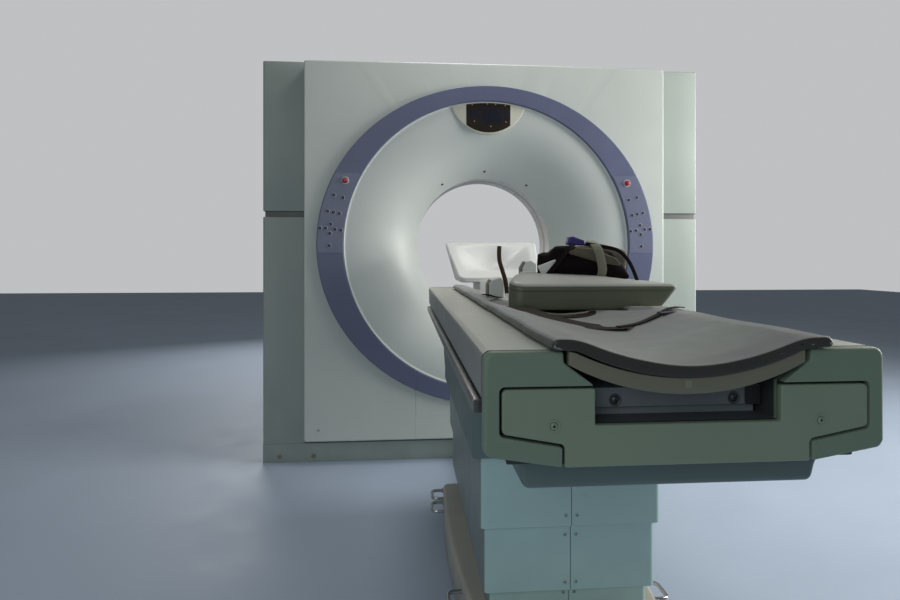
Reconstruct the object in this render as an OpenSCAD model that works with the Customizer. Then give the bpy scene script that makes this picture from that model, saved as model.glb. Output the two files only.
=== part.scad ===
// Whole-body CT scanner: a tilting gantry between two stand towers, and its patient table.
// Millimetres. +X is right seen from the foot of the table, +Y runs along the bore away from
// the table, +Z is up. The origin is on the floor below the middle of the bore.

/* [Gantry covers] */
// Height of the bore axis above the floor
iso_z = 1075; // [1065:1:1085]
// Margin between the oval band and the sides of the covers
cover_side = 62; // [56:1:80]
// Margin between the oval band and the top of the covers
cover_rise = 108; // [90:1:130]
// Height of the bottom edge of the covers
cover_bottom = 119; // [115:1:130]
// Rise of the top edge at its middle
cover_crown = 5; // [1:1:10]
// Distance from the scan plane to the front cover
front_reach = 280; // [275:1:290]
// Distance from the scan plane to the rear cover
rear_reach = 530; // [510:1:545]
// Distance from the scan plane to the seam between the front and rear covers
seam_reach = 100; // [95:1:110]
// Wall of the moulded covers
cover_wall = 4; // [3:0.5:6]
// Where the underside of the rear cover starts to slope up
slope_start = 240; // [220:1:250]
// Height that the sloping underside reaches at the back
slope_rise = 145; // [140:1:180]
// Half the width of the lower centre cover
lower_half = 360; // [340:1:380]
// Gap along the seams of the lower centre cover
seam_gap = 1; // [0.5:0.1:2]

/* [Bore and recess] */
// Diameter of the patient bore
bore_d = 700; // [690:1:710]
// Wall of the bore liner and of the front recess
liner_wall = 4; // [3:0.5:5]
// Distance from the scan plane to the front end of the liner
liner_front = 108; // [100:1:115]
// Distance from the scan plane to the rear end of the liner
liner_rear = 103; // [100:1:110]
// Diameter of the round recess in the front
recess_d = 1420; // [1400:1:1430]
// How fast the recess deepens towards the bore
recess_curve = 2.5; // [2:0.1:3]
// Diameter of the opening in the back
rear_open_d = 1280; // [1200:1:1300]
// How fast the rear opening narrows towards the bore
rear_curve = 2; // [1.6:0.1:2.4]

/* [Control band] */
// Width of the oval band at its sides
band_side = 128; // [110:1:134]
// Width of the oval band at its top and bottom
band_rise = 75; // [66:1:86]
// How far the band stands off the front cover
band_t = 17; // [15:1:20]
// Thickness of the keypad plates on the band
keypad_t = 1.5; // [1:0.1:2]
// Margin between a keypad plate and the edges of the band
keypad_margin = 5; // [4:1:7]
// Height of the lower end of a keypad plate below the bore axis
keypad_drop = 40; // [35:1:50]
// Height of the upper end of a keypad plate above the bore axis
keypad_rise = 345; // [340:1:360]
// Radius of a key
key_r = 8; // [7:0.5:9]
// How far a key stands off the band
key_proud = 4.5; // [3:0.5:6]
// Travel of a key
key_travel = 1.5; // [1:0.5:2]
// Radius of a stop button
stop_r = 13; // [12:0.5:14]
// How far a stop button stands off the band
stop_proud = 13; // [10:1:15]
// Clearance around keys and buttons
key_gap = 0.5; // [0.3:0.1:0.8]

/* [Display] */
// Radius of the arc under the display panel
display_r = 194; // [185:1:200]
// Distance from the bore axis to the bottom of the display panel
display_drop = 550; // [540:1:560]
// Half the width of the display glass
glass_half = 117; // [110:1:122]
// Rim left around the glass
glass_rim = 7; // [6:1:10]
// Thickness of the glass
glass_t = 4.5; // [4:0.5:6]
// Depth of the display housing
display_deep = 68; // [60:1:75]
// Radius of a positioning light window
light_r = 6; // [5:0.5:7]
// Distance of the positioning lights from the bore axis
light_reach = 384; // [380:1:390]
// Angle between neighbouring positioning lights
light_angle = 35; // [32:1:38]

/* [Stand] */
// Width of each stand cover
side_w = 205; // [190:1:225]
// Height of the stand covers
stand_top = 1983; // [1975:1:2000]
// Distance from the scan plane to the front of the stand
stand_front = 210; // [205:1:215]
// Distance from the scan plane to the back of the stand
stand_rear = 460; // [450:1:480]
// Gap between the tilting covers and the stand covers
side_gap = 5; // [4:0.5:8]
// Wall of the stand covers
side_wall = 5; // [4:0.5:6]
// Height of the floor plinth
plinth_h = 92; // [85:1:94]
// Thickness of the floor plinth
plinth_t = 20; // [15:1:22]
// Height of the groove around the stand covers
groove_z = 1213; // [1205:1:1220]
// Width of the groove
groove_h = 30; // [20:1:40]
// Depth of the groove
groove_d = 12; // [8:1:14]
// Space between a stand cover and its steel tower
tower_gap = 20; // [16:1:24]
// Depth of a steel tower along the bore
tower_deep = 360; // [320:1:380]
// Height of a steel tower
tower_top = 1250; // [1240:1:1300]
// Wall of a steel tower
tower_wall = 12; // [10:1:16]
// Height of the floor beams
beam_h = 55; // [45:1:60]
// Width of the floor cross beams
beam_w = 80; // [60:1:90]
// Diameter of an anchor hole in the floor beams
anchor_d = 18; // [14:1:22]
// Radius of the tilt shafts
shaft_r = 60; // [50:1:65]
// Radius of the bearing seats in the towers
seat_r = 90; // [85:1:95]
// Radius of the bearing flanges
flange_r = 118; // [110:1:122]

/* [Rotating part] */
// Outer radius of the drum
drum_r = 760; // [750:1:770]
// Thickness of the drum disc
drum_t = 25; // [20:1:30]
// Distance from the scan plane to the front face of the drum disc
drum_y = 60; // [55:1:65]
// Inner radius of the drum
drum_bore_r = 380; // [378:1:386]
// Wall of the drum hub and rim
drum_wall = 20; // [16:1:22]
// Distance from the bore axis to the middle of the detector
detector_reach = 440; // [430:1:450]
// Distance from the focus to the detector
detector_r = 1000; // [990:1:1010]
// Thickness of the slip ring
track_t = 25; // [20:1:28]
// Thickness of the detector arc
detector_t = 80; // [60:1:90]
// Half of the fan angle
fan_angle = 26; // [24:1:27]
// Radius of the X-ray tube housing
tube_r = 115; // [105:1:120]
// How far the middle of the tube housing lies above the X-ray focus
tube_rise = 45; // [30:1:50]
// Distance from the scan plane to the front of the tilt frame plate
frame_y = 165; // [160:1:170]
// Thickness of the tilt frame plate
frame_t = 25; // [20:1:30]
// Margin between the tilt frame plate and the sides of the covers
frame_margin = 40; // [30:1:50]
// Radius of the motor pulley
pulley_r = 50; // [45:1:55]
// Place of the motor right of the bore axis
motor_x = 620; // [610:1:630]
// Place of the motor below the bore axis
motor_drop = 640; // [635:1:650]
// Thickness of the drive belt
belt_t = 4; // [3:0.5:5]
// Width of the drive belt
belt_w = 24; // [20:1:28]

/* [Table covers] */
// Half the width of the table housing
housing_half = 304; // [300:1:310]
// Height of the top of the housing
housing_top = 878; // [876:1:880]
// Height of the lower edge of the housing sides
side_low = 806; // [800:1:812]
// Height of the underside of the housing
housing_low = 711; // [708:1:714]
// Distance from the scan plane to the near end of the table
near_y = 2291; // [2280:1:2310]
// Distance from the scan plane to the top of the far end
far_y = 480; // [478:1:500]
// How far the far end slopes back below its top
far_slope = 100; // [95:1:120]
// Width of the recess along each side
side_recess = 36; // [30:1:40]
// Wall of the housing
housing_wall = 10; // [8:0.5:11]
// Half the width of the channel under the tabletop
channel_half = 141; // [138:1:144]
// Height of the channel floor
channel_z = 771; // [770:1:773]
// Thickness of the end plate of the housing
end_t = 20; // [18:1:24]
// Thickness of the end cover
end_cover_t = 12; // [10:1:14]
// Width of the groove around the end cover
end_groove = 4; // [3:0.5:5]
// Bottom of the belly under the near end
belly_z = 652; // [640:1:660]
// Half the width of the belly at its bottom
belly_half = 229; // [220:1:235]
// How far the belly sits behind the end cover
belly_back = 70; // [60:1:90]
// Bottom of the skirt around the pedestal
skirt_z = 522; // [518:1:526]
// Height of the slope at the far end of the skirt
wedge_h = 140; // [120:1:150]
// Half the width of the skirt
skirt_half = 250; // [248:1:255]
// Wall of the skirt and of the pedestal covers
skin = 4; // [3:0.5:4.5]

/* [Pedestal] */
// Distance from the scan plane to the front of the pedestal
pedestal_near = 1698; // [1690:1:1705]
// Distance from the scan plane to the back of the pedestal
pedestal_far = 770; // [765:1:780]
// Half the width of the upper pedestal cover
stage_half = 230; // [228:1:232]
// Step from the upper to the middle pedestal cover
stage_step = 10.5; // [9:0.5:11]
// Step from the middle to the lower pedestal cover
stage_step_low = 15; // [12:0.5:16]
// Bottom of the upper pedestal cover
upper_z = 343; // [342:1:346]
// Height of the upper pedestal cover
upper_h = 235; // [230:1:236]
// Bottom of the middle pedestal cover
middle_z = 178; // [177:1:181]
// Height of the middle and lower pedestal covers
lower_h = 240; // [235:1:241]
// Corner radius of the pedestal covers
stage_round = 14; // [10:1:18]
// Height of the table base
base_h = 119; // [117:1:120]
// Half the width of the table base at its widest
base_half = 273; // [270:1:280]
// Radius of the bowed sides of the table base
base_bow = 4200; // [3800:50:4600]
// Near end of the table base
base_near = 1775; // [1765:1:1790]
// Far end of the table base
base_far = 830; // [825:1:840]
// Where the table base is widest
base_mid = 1155; // [1140:1:1170]
// Outer width of the outer lift column
column_w = 180; // [176:1:184]
// Wall of the lift columns
column_wall = 8; // [6:0.5:9]
// Clearance between the lift columns
column_gap = 2; // [1.5:0.5:3]
// Distance from the middle of the pedestal to each lift column
column_reach = 250; // [230:1:270]
// Length of a lift column stage
column_h = 335; // [330:1:340]
// Rod diameter of the floor loops
loop_rod = 12; // [10:1:14]
// Length of a floor loop
loop_len = 90; // [80:1:100]
// How far a floor loop stands out
loop_out = 50; // [40:1:56]
// Height of the floor loops
loop_z = 90; // [80:1:95]

/* [Cradle] */
// Half the width of the tabletop
top_half = 182; // [178:1:184]
// Radius of the underside of the tabletop
under_r = 318; // [310:1:330]
// Height of the lowest line of the tabletop
top_low = 815; // [814:1:817]
// Radius of the hollow of the tabletop
hollow_r = 500; // [480:5:540]
// Thickness of the tabletop at its middle
top_t = 24; // [22:1:26]
// Far end of the tabletop
top_far = 640; // [630:1:650]
// Thickness of the cradle end cap
cap_t = 12; // [10:1:14]
// Thickness of the mattress at its middle
pad_t = 17; // [14:1:20]
// Half the width of the mattress
pad_half = 205; // [200:1:210]
// Radius of the top of the mattress
pad_r = 640; // [600:10:700]
// Far end of the mattress
pad_far = 770; // [765:1:790]
// Height of the glide pads between the pedestal covers
glide_h = 10; // [8:1:14]
// Far end of the headrest
head_far = 330; // [325:1:335]
// Length of the headrest cup
head_len = 310; // [300:1:330]
// Half the width of the headrest at its rim
head_half = 215; // [205:1:220]
// Height of the headrest rim
head_top = 1080; // [1060:1:1085]
// Radius of the hollow of the headrest
head_hollow = 320; // [300:5:340]
// Gap under the positioning board where it reaches over the housing
board_gap = 1; // [1:0.5:3]
// Thickness of the positioning board
board_t = 70; // [60:1:74]
// Near end of the positioning board
board_near = 1600; // [1580:1:1620]
// Length of the positioning board
board_len = 430; // [400:1:450]
// Height of the strap bag
bag_h = 110; // [90:1:116]
// Length of the strap bag
bag_len = 200; // [180:1:220]

/* [Hidden] */
ring_fn = 180;
hole_fn = 48;
fit = 0.3;
band_y = -front_reach - band_t;
focus_r = detector_r - detector_reach;
tube_reach = focus_r + tube_rise;
recess_r = recess_d / 2;
band_w = recess_d + 2 * band_side;
band_h = recess_d + 2 * band_rise;
cover_half = band_w / 2 + cover_side;
cover_top = iso_z + band_h / 2 + cover_rise;
frame_half = cover_half - frame_margin;
cover_in = cover_half - cover_wall;
bore_r = bore_d / 2;
recess_deep = front_reach - liner_front;
rim_r = recess_r + 16;
plate_hole_r = rim_r + 4;
rear_open_r = rear_open_d / 2;
rear_deep = rear_reach - liner_rear;
side_in = cover_half + side_gap;
side_out = side_in + side_w;
tower_in = side_in + tower_gap;
tower_out = side_out - tower_gap - side_wall;
tower_front = -110;
shaft_end = tower_in + (tower_out - tower_in) * 0.375;
shaft_hole_r = shaft_r + 15;
belt_y = drum_y - 2;
pulley_ratio = drum_r / pulley_r;
bearing_y = drum_y + drum_t + 30;
bearing_r = drum_bore_r + drum_wall + key_gap;
pedestal_mid = -(pedestal_near + pedestal_far) / 2;
recess_half = housing_half - side_recess;
plate_under = channel_z - housing_wall - 1;
lift_low = -395;
beam_half = channel_half - 4;
board_low = housing_top + board_gap;
well_half = 190;
base_floor = 15;
display_z = display_drop + display_r;
rows = [for (p = [[58, 99.5], [109.5, 80], [82.5, 79], [38, 74], [10, 70], [62.5, 54.5]])
    [recess_r + p[0], p[1]]];
fixed_keys = [for (p = [[42.5, 239.5], [0, 226.5], [73, 162], [44.5, 156.5], [17.5, 150], [65.5, -5.5]])
    [recess_r + p[0], p[1]]];
stop_at = [recess_r - 10, 310];
column_ys = [pedestal_mid - column_reach, pedestal_mid + column_reach];
loop_ys = [-base_near + 105, -base_near + 215, -base_far - 150, -base_far - 40];

function arc(cx, cz, r, a0, a1, n) =
    [for (i = [0:n]) let (a = a0 + (a1 - a0) * i / n) [cx + r * cos(a), cz + r * sin(a)]];
function oval(rx, rz, n) = [for (i = [0:n - 1]) [rx * cos(360 * i / n), rz * sin(360 * i / n)]];
function rounded(x0, y0, x1, y1, r) = concat(
    arc(x1 - r, y1 - r, r, 0, 90, 5), arc(x0 + r, y1 - r, r, 90, 180, 5),
    arc(x0 + r, y0 + r, r, 180, 270, 5), arc(x1 - r, y0 + r, r, 270, 360, 5));
// Depth of the front recess at radius r, measured from the front cover
function recess_at(r) = recess_deep * pow((recess_r - r) / (recess_r - bore_r), recess_curve);
// Height of a sagging arc at distance x from its middle
function sag(r, x) = r - sqrt(r * r - x * x);
// Half the width of the bowed table base at distance y along the bore
function bowed(y) = base_half - pow(y + base_mid, 2) / (2 * base_bow);

// Section in the XZ plane, drawn along Y from y0 to y1
module along_y(y0, y1) { translate([0, y1, 0]) rotate([90, 0, 0]) linear_extrude(y1 - y0) children(); }
// Section in the YZ plane, drawn along X from x0 to x1
module along_x(x0, x1) { translate([x0, 0, 0]) rotate([90, 0, 90]) linear_extrude(x1 - x0) children(); }
// Section of [radius, y] turned about the bore axis
module turned() { translate([0, 0, iso_z]) rotate([-90, 0, 0]) rotate_extrude($fn = ring_fn) children(); }
module disc(y0, y1, r, x = 0, z = 0, fn = ring_fn) {
    translate([x, y1, iso_z + z]) rotate([90, 0, 0]) cylinder(h = y1 - y0, r = r, $fn = fn);
}
module hoop(y0, y1, ro, ri) {
    difference() {
        disc(y0, y1, ro);
        disc(y0 - 1, y1 + 1, ri);
    }
}
module side_disc(x0, x1, r) {
    translate([x0, 0, iso_z]) rotate([0, 90, 0]) cylinder(h = x1 - x0, r = r, $fn = hole_fn * 2);
}
module block(x0, x1, y0, y1, z0, z1) { translate([x0, y0, z0]) cube([x1 - x0, y1 - y0, z1 - z0]); }
module mirrored() { mirror([1, 0, 0]) children(); }
module both() {
    children();
    mirrored() children();
}

// Welded floor beams with two hollow towers that carry the tilt bearings
module stand_frame() {
    color("dimgray") difference() {
        union() {
            both() block(tower_in, tower_out, -stand_front + plinth_t, stand_rear - plinth_t, 0, beam_h);
            for (y = [tower_front - beam_w + 10, stand_rear - plinth_t - beam_w])
                block(-tower_in, tower_in, y, y + beam_w, 0, beam_h);
            block(-beam_w / 2, beam_w / 2, tower_front - beam_w + 10, stand_rear - plinth_t, 0, beam_h);
            both() block(tower_in, tower_out, tower_front, tower_front + tower_deep, beam_h, tower_top);
        }
        both() block(tower_in + tower_wall, tower_out - tower_wall, tower_front + tower_wall,
            tower_front + tower_deep - tower_wall, beam_h + tower_wall, tower_top - tower_wall);
        both() side_disc(tower_in - 1, tower_in + tower_wall + 1, seat_r);
        both() for (y = [tower_front - 40, stand_rear - plinth_t - 40])
            translate([(tower_in + tower_out) / 2, y, -1])
                cylinder(h = beam_h + 2, d = anchor_d, $fn = hole_fn);
    }
}

// Moulded cover of one stand tower, with a groove all round
module side_shell(inset, z0, z1, groove) {
    block(side_in + inset, side_out - inset - groove, -stand_front + inset + groove,
        stand_rear - inset - groove, z0, z1);
}
module side_cover() {
    color("slategray") difference() {
        union() {
            side_shell(0, plinth_h, groove_z, 0);
            side_shell(0, groove_z, groove_z + groove_h, groove_d);
            side_shell(0, groove_z + groove_h, stand_top, 0);
        }
        side_shell(side_wall, plinth_h - 1, groove_z - side_wall, 0);
        side_shell(side_wall, groove_z - side_wall - 1, groove_z + groove_h + side_wall + 1, groove_d);
        side_shell(side_wall, groove_z + groove_h + side_wall, stand_top - side_wall, 0);
        side_disc(side_in - 1, side_in + side_wall + 1, flange_r + 6);
    }
}

// U-shaped plinth that closes the stand at the floor, with the low duct to the table
module floor_plinth() {
    duct_half = 120;
    duct_h = 40;
    color("slategray") {
        difference() {
            block(-side_out, side_out, -stand_front, stand_rear, 0, plinth_h);
            block(-side_out + plinth_t, side_out - plinth_t, -stand_front + plinth_t, stand_rear + 1,
                -1, plinth_h + 1);
        }
        difference() {
            block(-duct_half, duct_half, -base_far, -stand_front, 0, duct_h);
            block(-duct_half + skin, duct_half - skin, -base_far + skin, -stand_front - skin,
                -1, duct_h - skin);
        }
    }
}

// Two flanged bearings that carry the tilting part
module tilt_bearings() {
    color("silver") both() difference() {
        union() {
            side_disc(side_in, tower_in, flange_r);
            side_disc(tower_in, shaft_end, seat_r - fit);
        }
        side_disc(side_in - 1, shaft_end + 1, shaft_r + fit);
    }
}

// Outline of the gantry covers seen from the front
function cover_outline(inset) = let (h = cover_half - inset, n = 8) concat(
    [[-h, cover_bottom + inset], [h, cover_bottom + inset]],
    [for (i = [0:n]) let (x = h - 2 * h * i / n)
        [x, cover_top - inset + cover_crown * (1 - pow(x / h, 2))]]);

module front_cover() {
    drop = sqrt(pow(plate_hole_r, 2) - pow(lower_half, 2)) - 5;
    color("gainsboro") difference() {
        along_y(-front_reach, -seam_reach) polygon(cover_outline(0));
        along_y(-front_reach + cover_wall, -seam_reach + 1) polygon(cover_outline(cover_wall));
        disc(-front_reach - 1, -front_reach + cover_wall + 1, plate_hole_r);
        block(-lower_half - seam_gap, lower_half + seam_gap, -front_reach - 1, -seam_reach + 1,
            cover_bottom - 1, iso_z - drop);
    }
}

// Lower centre cover with its own piece of the band
module lower_cover() {
    color("gainsboro") difference() {
        union() {
            block(-lower_half, lower_half, -front_reach, -front_reach + cover_wall, cover_bottom, iso_z);
            block(-lower_half, lower_half, -front_reach, -seam_reach, cover_bottom, cover_bottom + cover_wall);
        }
        disc(-front_reach - 1, -front_reach + cover_wall + 1, plate_hole_r);
    }
    color("slateblue") intersection() {
        band_ring(0);
        block(-lower_half, lower_half, band_y - 1, -front_reach + 1, cover_bottom, iso_z);
    }
}

module band_section(margin) {
    difference() {
        polygon(oval(band_w / 2 - margin, band_h / 2 - margin, 120));
        circle(r = recess_r + margin, $fn = ring_fn);
    }
}
module band_ring(margin) { translate([0, 0, iso_z]) along_y(band_y, -front_reach) band_section(margin); }

// Raised oval band that carries the keypads
module control_band() {
    color("slateblue") difference() {
        band_ring(0);
        block(-lower_half - seam_gap, lower_half + seam_gap, band_y - 1, -front_reach + 1, 0, iso_z);
        both() for (place = rows) disc(band_y - 1, -front_reach + 1, key_r + key_gap, place[0], place[1], hole_fn);
        both() disc(band_y - 1, -front_reach + 1, stop_r + key_gap, stop_at[0], stop_at[1], hole_fn);
    }
}

// One keypad plate with its fixed keys and the collar of the stop button
module keypad() {
    difference() {
        union() {
            translate([0, 0, iso_z]) along_y(band_y - keypad_t, band_y) intersection() {
                band_section(keypad_margin);
                translate([lower_half, -keypad_drop]) square([band_w / 2, keypad_rise + keypad_drop]);
            }
            for (place = fixed_keys)
                disc(band_y - key_proud, band_y, key_r, place[0], place[1], hole_fn);
            disc(band_y - key_proud, band_y, stop_r + 6, stop_at[0], stop_at[1], hole_fn);
        }
        for (place = rows)
            disc(band_y - key_proud, band_y + 1, key_r + key_gap, place[0], place[1], hole_fn);
        disc(band_y - key_proud - 1, band_y + 1, stop_r + key_gap, stop_at[0], stop_at[1], hole_fn);
    }
}

// Push button with a rounded face, pressed along the bore
module button(place, r, proud, travel) {
    back = -front_reach - travel - key_gap;
    long = back - band_y + proud;
    translate([place[0], back, iso_z + place[1]]) rotate([90, 0, 0]) rotate_extrude($fn = hole_fn)
        polygon([[0, 0], [r, 0], [r, long - r / 3], [r * 0.85, long - r / 8], [r * 0.5, long], [0, long]]);
}
module key(i) { color("darkslateblue") button(rows[i], key_r, key_proud, key_travel); }
module stop_button() { color("firebrick") button(stop_at, stop_r, stop_proud, key_travel + 1); }

// Trumpet-shaped recess that leads from the band to the bore
module front_funnel() {
    n = 14;
    radii = [for (i = [0:n]) recess_r + (bore_r - recess_r) * i / n];
    face = [for (r = radii) [r, -front_reach + recess_at(r)]];
    back = [for (i = [n - 1:-1:1]) [radii[i] + liner_wall * 0.7, face[i][1] + liner_wall * 0.7]];
    color("whitesmoke") difference() {
        turned() polygon(concat(face, [[bore_r + liner_wall, -liner_front]], back,
            [[recess_r + liner_wall, -front_reach + liner_wall], [rim_r, -front_reach + liner_wall],
             [rim_r, -front_reach]]));
        along_y(-front_reach - 1, -liner_front) display_outline(-key_gap);
        for (i = [-1:1]) light_window(i, light_r + fit, 40);
    }
}
module light_window(i, r, long) {
    slope = recess_curve * recess_at(light_reach) / (recess_r - light_reach);
    translate([0, 0, iso_z]) rotate([0, i * light_angle, 0])
        translate([0, -front_reach + recess_at(light_reach), light_reach])
            rotate([90 + atan(slope), 0, 0])
                translate([0, 0, -long / 2]) cylinder(h = long, r = r, $fn = hole_fn);
}
module light_windows() { color("black") for (i = [-1:1]) light_window(i, light_r, liner_wall); }

// Crescent panel under the top of the band
module display_outline(inset) {
    translate([0, iso_z]) intersection() {
        circle(r = recess_r - 1 - inset, $fn = ring_fn);
        translate([0, display_z]) circle(r = display_r - inset, $fn = ring_fn);
    }
}
module glass_outline(inset) {
    intersection() {
        display_outline(glass_rim + inset);
        translate([-glass_half + inset, iso_z]) square([2 * (glass_half - inset), recess_r]);
    }
}
module display_bezel() {
    color("beige") difference() {
        along_y(-front_reach - glass_t, -front_reach - glass_t + display_deep) display_outline(0);
        along_y(-front_reach - glass_t - 1, -front_reach) glass_outline(0);
        along_y(-front_reach + skin, -front_reach - glass_t + display_deep + 1) display_outline(skin);
    }
}
module display_glass() {
    color("#221a14") along_y(-front_reach - glass_t - 0.5, -front_reach) glass_outline(fit);
}

// Patient tube through the rotating part, with the seams of the scan window
module bore_liner() {
    seam = 22;
    color("whitesmoke") difference() {
        turned() translate([bore_r, -liner_front]) square([liner_wall, liner_front + liner_rear]);
        for (y = [-seam, seam]) hoop(y - 1, y + 1, bore_r + 0.8, bore_r - 1);
    }
}

// Rear cover with the moulded rear opening
function rear_section(inset) = [
    [-seam_reach - inset, cover_bottom + inset], [slope_start, cover_bottom + inset],
    [rear_reach - inset, cover_bottom + slope_rise + inset],
    [rear_reach - inset, cover_top + cover_crown + 1], [-seam_reach - inset, cover_top + cover_crown + 1]];
module rear_cover() {
    color("gainsboro") difference() {
        intersection() {
            along_y(-seam_reach, rear_reach) polygon(cover_outline(0));
            along_x(-cover_half, cover_half) polygon(rear_section(0));
        }
        intersection() {
            along_y(-seam_reach - 1, rear_reach) polygon(cover_outline(cover_wall));
            along_x(-cover_half, cover_half) polygon(rear_section(cover_wall));
        }
        disc(rear_reach - cover_wall - 1, rear_reach + 1, rear_open_r + cover_wall);
        both() side_disc(cover_in - 1, cover_half + 1, shaft_hole_r);
    }
}

// Flared opening from the back to the bore liner
module rear_funnel() {
    n = 12;
    radii = [for (i = [0:n]) bore_r + (rear_open_r - bore_r) * i / n];
    deep = [for (r = radii) rear_reach - rear_deep * pow((rear_open_r - r) / (rear_open_r - bore_r), rear_curve)];
    color("whitesmoke") turned() polygon(concat(
        [for (i = [0:n]) [radii[i], deep[i]]],
        [for (i = [n:-1:0]) [radii[i] + cover_wall, deep[i] - (i == 0 ? 0 : cover_wall * 0.4)]]));
}

// Welded frame that tilts on two stub shafts
module tilt_frame() {
    arm_t = 30;
    arm_half = 190;
    color("steelblue") difference() {
        union() {
            block(-frame_half, frame_half, frame_y, frame_y + frame_t, iso_z - frame_half, iso_z + frame_half);
            both() block(cover_in - arm_t, cover_in, -arm_half / 2, frame_y + frame_t,
                iso_z - arm_half, iso_z + arm_half);
            both() block(frame_half - 1, cover_in - 1, frame_y, frame_y + frame_t,
                iso_z - arm_half, iso_z + arm_half);
            both() side_disc(cover_in - arm_t, shaft_end - 5, shaft_r);
        }
        disc(frame_y - 1, frame_y + frame_t + 1, bearing_r + 66);
        for (x = [-1, 1], z = [-1, 1])
            disc(frame_y - 1, frame_y + frame_t + 1, 90, x * (frame_half - 120), z * (frame_half - 120), hole_fn);
    }
}

// Outer ring of the large bearing that carries the drum
module drum_bearing() { color("silver") hoop(bearing_y, frame_y, bearing_r + 100, bearing_r); }

// Rotating drum: disc, hub and rim
module drum() {
    hole_r = 38;
    color("lightsteelblue") difference() {
        union() {
            hoop(drum_y, drum_y + drum_t, drum_r, drum_bore_r);
            hoop(drum_y, frame_y - 10, drum_bore_r + drum_wall, drum_bore_r);
            hoop(-drum_y, drum_y + drum_t, drum_r, drum_r - drum_wall);
        }
        for (i = [0:7]) disc(drum_y - 1, drum_y + drum_t + 1, hole_r,
            (drum_bore_r + drum_wall + 16 + hole_r) * cos(45 * i + 22.5),
            (drum_bore_r + drum_wall + 16 + hole_r) * sin(45 * i + 22.5), hole_fn);
    }
}

// X-ray tube housing with the collimator under it
module xray_tube() {
    color("silver") {
        disc(-2.5 * drum_y, drum_y, tube_r, 0, tube_reach, hole_fn * 2);
        disc(-2.5 * drum_y - 25, -2.5 * drum_y, tube_r * 0.6, 0, tube_reach, hole_fn * 2);
        block(-80, 80, -drum_y, drum_y, iso_z + drum_bore_r + drum_wall, iso_z + tube_reach - tube_r + 15);
    }
}

// Curved detector opposite the tube
module detector() {
    color("goldenrod") translate([0, 0, iso_z + focus_r]) along_y(-drum_y - 20, drum_y) polygon(concat(
        arc(0, 0, detector_r, 270 - fan_angle, 270 + fan_angle, 16),
        arc(0, 0, detector_r + detector_t, 270 + fan_angle, 270 - fan_angle, 16)));
}

// High-voltage generator on the side of the drum
module generator() {
    long = 320;
    color("gray") block(-drum_r + drum_wall + 26, -drum_bore_r - 110, -2 * drum_y, drum_y,
        iso_z - long / 2, iso_z + long / 2);
}

// Slip ring that feeds the rotating part
module slip_ring() {
    color("orange") difference() {
        hoop(drum_y + drum_t, drum_y + drum_t + track_t, drum_r - 60, drum_r - 160);
        for (i = [1:4]) hoop(drum_y + drum_t + track_t - 3, drum_y + drum_t + track_t + 1,
            drum_r - 156 + 20 * i, drum_r - 164 + 20 * i);
    }
}

// Belt around the drum rim and the motor pulley, as one closed loop
function belt_outline(grow) = let (
    r1 = drum_r + 0.7 + grow, r2 = pulley_r + 0.6 + grow, d = norm([motor_x, motor_drop]),
    phi = atan2(-motor_drop, motor_x), beta = acos((r1 - r2) / d)) concat(
        arc(0, 0, r1, phi + beta, phi + 360 - beta, 120),
        arc(motor_x, -motor_drop, r2, phi - beta, phi + beta, 12));
module drive_belt() {
    color("#202020") translate([0, 0, iso_z]) along_y(belt_y, belt_y + belt_w) difference() {
        polygon(belt_outline(belt_t));
        polygon(belt_outline(0));
    }
}
module motor_pulley() {
    color("silver") {
        disc(belt_y - 3, belt_y + belt_w + 3, pulley_r, motor_x, -motor_drop, hole_fn * 2);
        disc(belt_y + belt_w, frame_y - 30, 12, motor_x, -motor_drop, hole_fn);
    }
}
module drum_motor() {
    color("darkslategray") difference() {
        disc(belt_y + belt_w + 12, frame_y, pulley_r + 25, motor_x, -motor_drop, hole_fn * 2);
        disc(belt_y + belt_w + 11, frame_y - 25, 12 + fit, motor_x, -motor_drop, hole_fn);
    }
}

// Bowed table base with a well for the lift columns
module base_outline(grow) {
    n = 12;
    side = [for (i = [0:n]) let (y = -base_near + (base_near - base_far) * i / n) [bowed(y) + grow, y]];
    polygon(concat(side, [for (i = [n:-1:0]) [-side[i][0], side[i][1]]]));
}
module table_base() {
    color("wheat") difference() {
        linear_extrude(base_h) base_outline(0);
        block(-well_half, well_half, -pedestal_near + 40, -pedestal_far - 40, base_floor, base_h + 1);
    }
}

// Bright steel loops on both sides of the table base
function loop_outline(y, inset) = rounded(
    bowed(y) - loop_out + inset, y - loop_len / 2 + inset,
    bowed(y) + loop_out - inset, y + loop_len / 2 - inset, loop_rod * 1.5 - inset);
module floor_loop(y) {
    translate([0, 0, loop_z - loop_rod / 2]) linear_extrude(loop_rod) difference() {
        polygon(loop_outline(y, 0));
        polygon(loop_outline(y, loop_rod));
        base_outline(fit);
    }
}
module base_loops() { color("silver") both() for (y = loop_ys) floor_loop(y); }

// One telescoping cover of the pedestal, with the seam of its two halves
module stage(step, z0, h) {
    x = stage_half - step;
    y0 = -pedestal_near + step;
    y1 = -pedestal_far - step;
    seam = 1;
    translate([0, 0, z0]) linear_extrude(h) difference() {
        polygon(rounded(-x, y0, x, y1, stage_round));
        polygon(rounded(-x + skin, y0 + skin, x - skin, y1 - skin, stage_round - skin));
        translate([-seam, y0 - 1]) square([2 * seam, 1 + skin / 2]);
        translate([-seam, y1 - skin / 2]) square([2 * seam, 1 + skin / 2]);
    }
}
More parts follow.
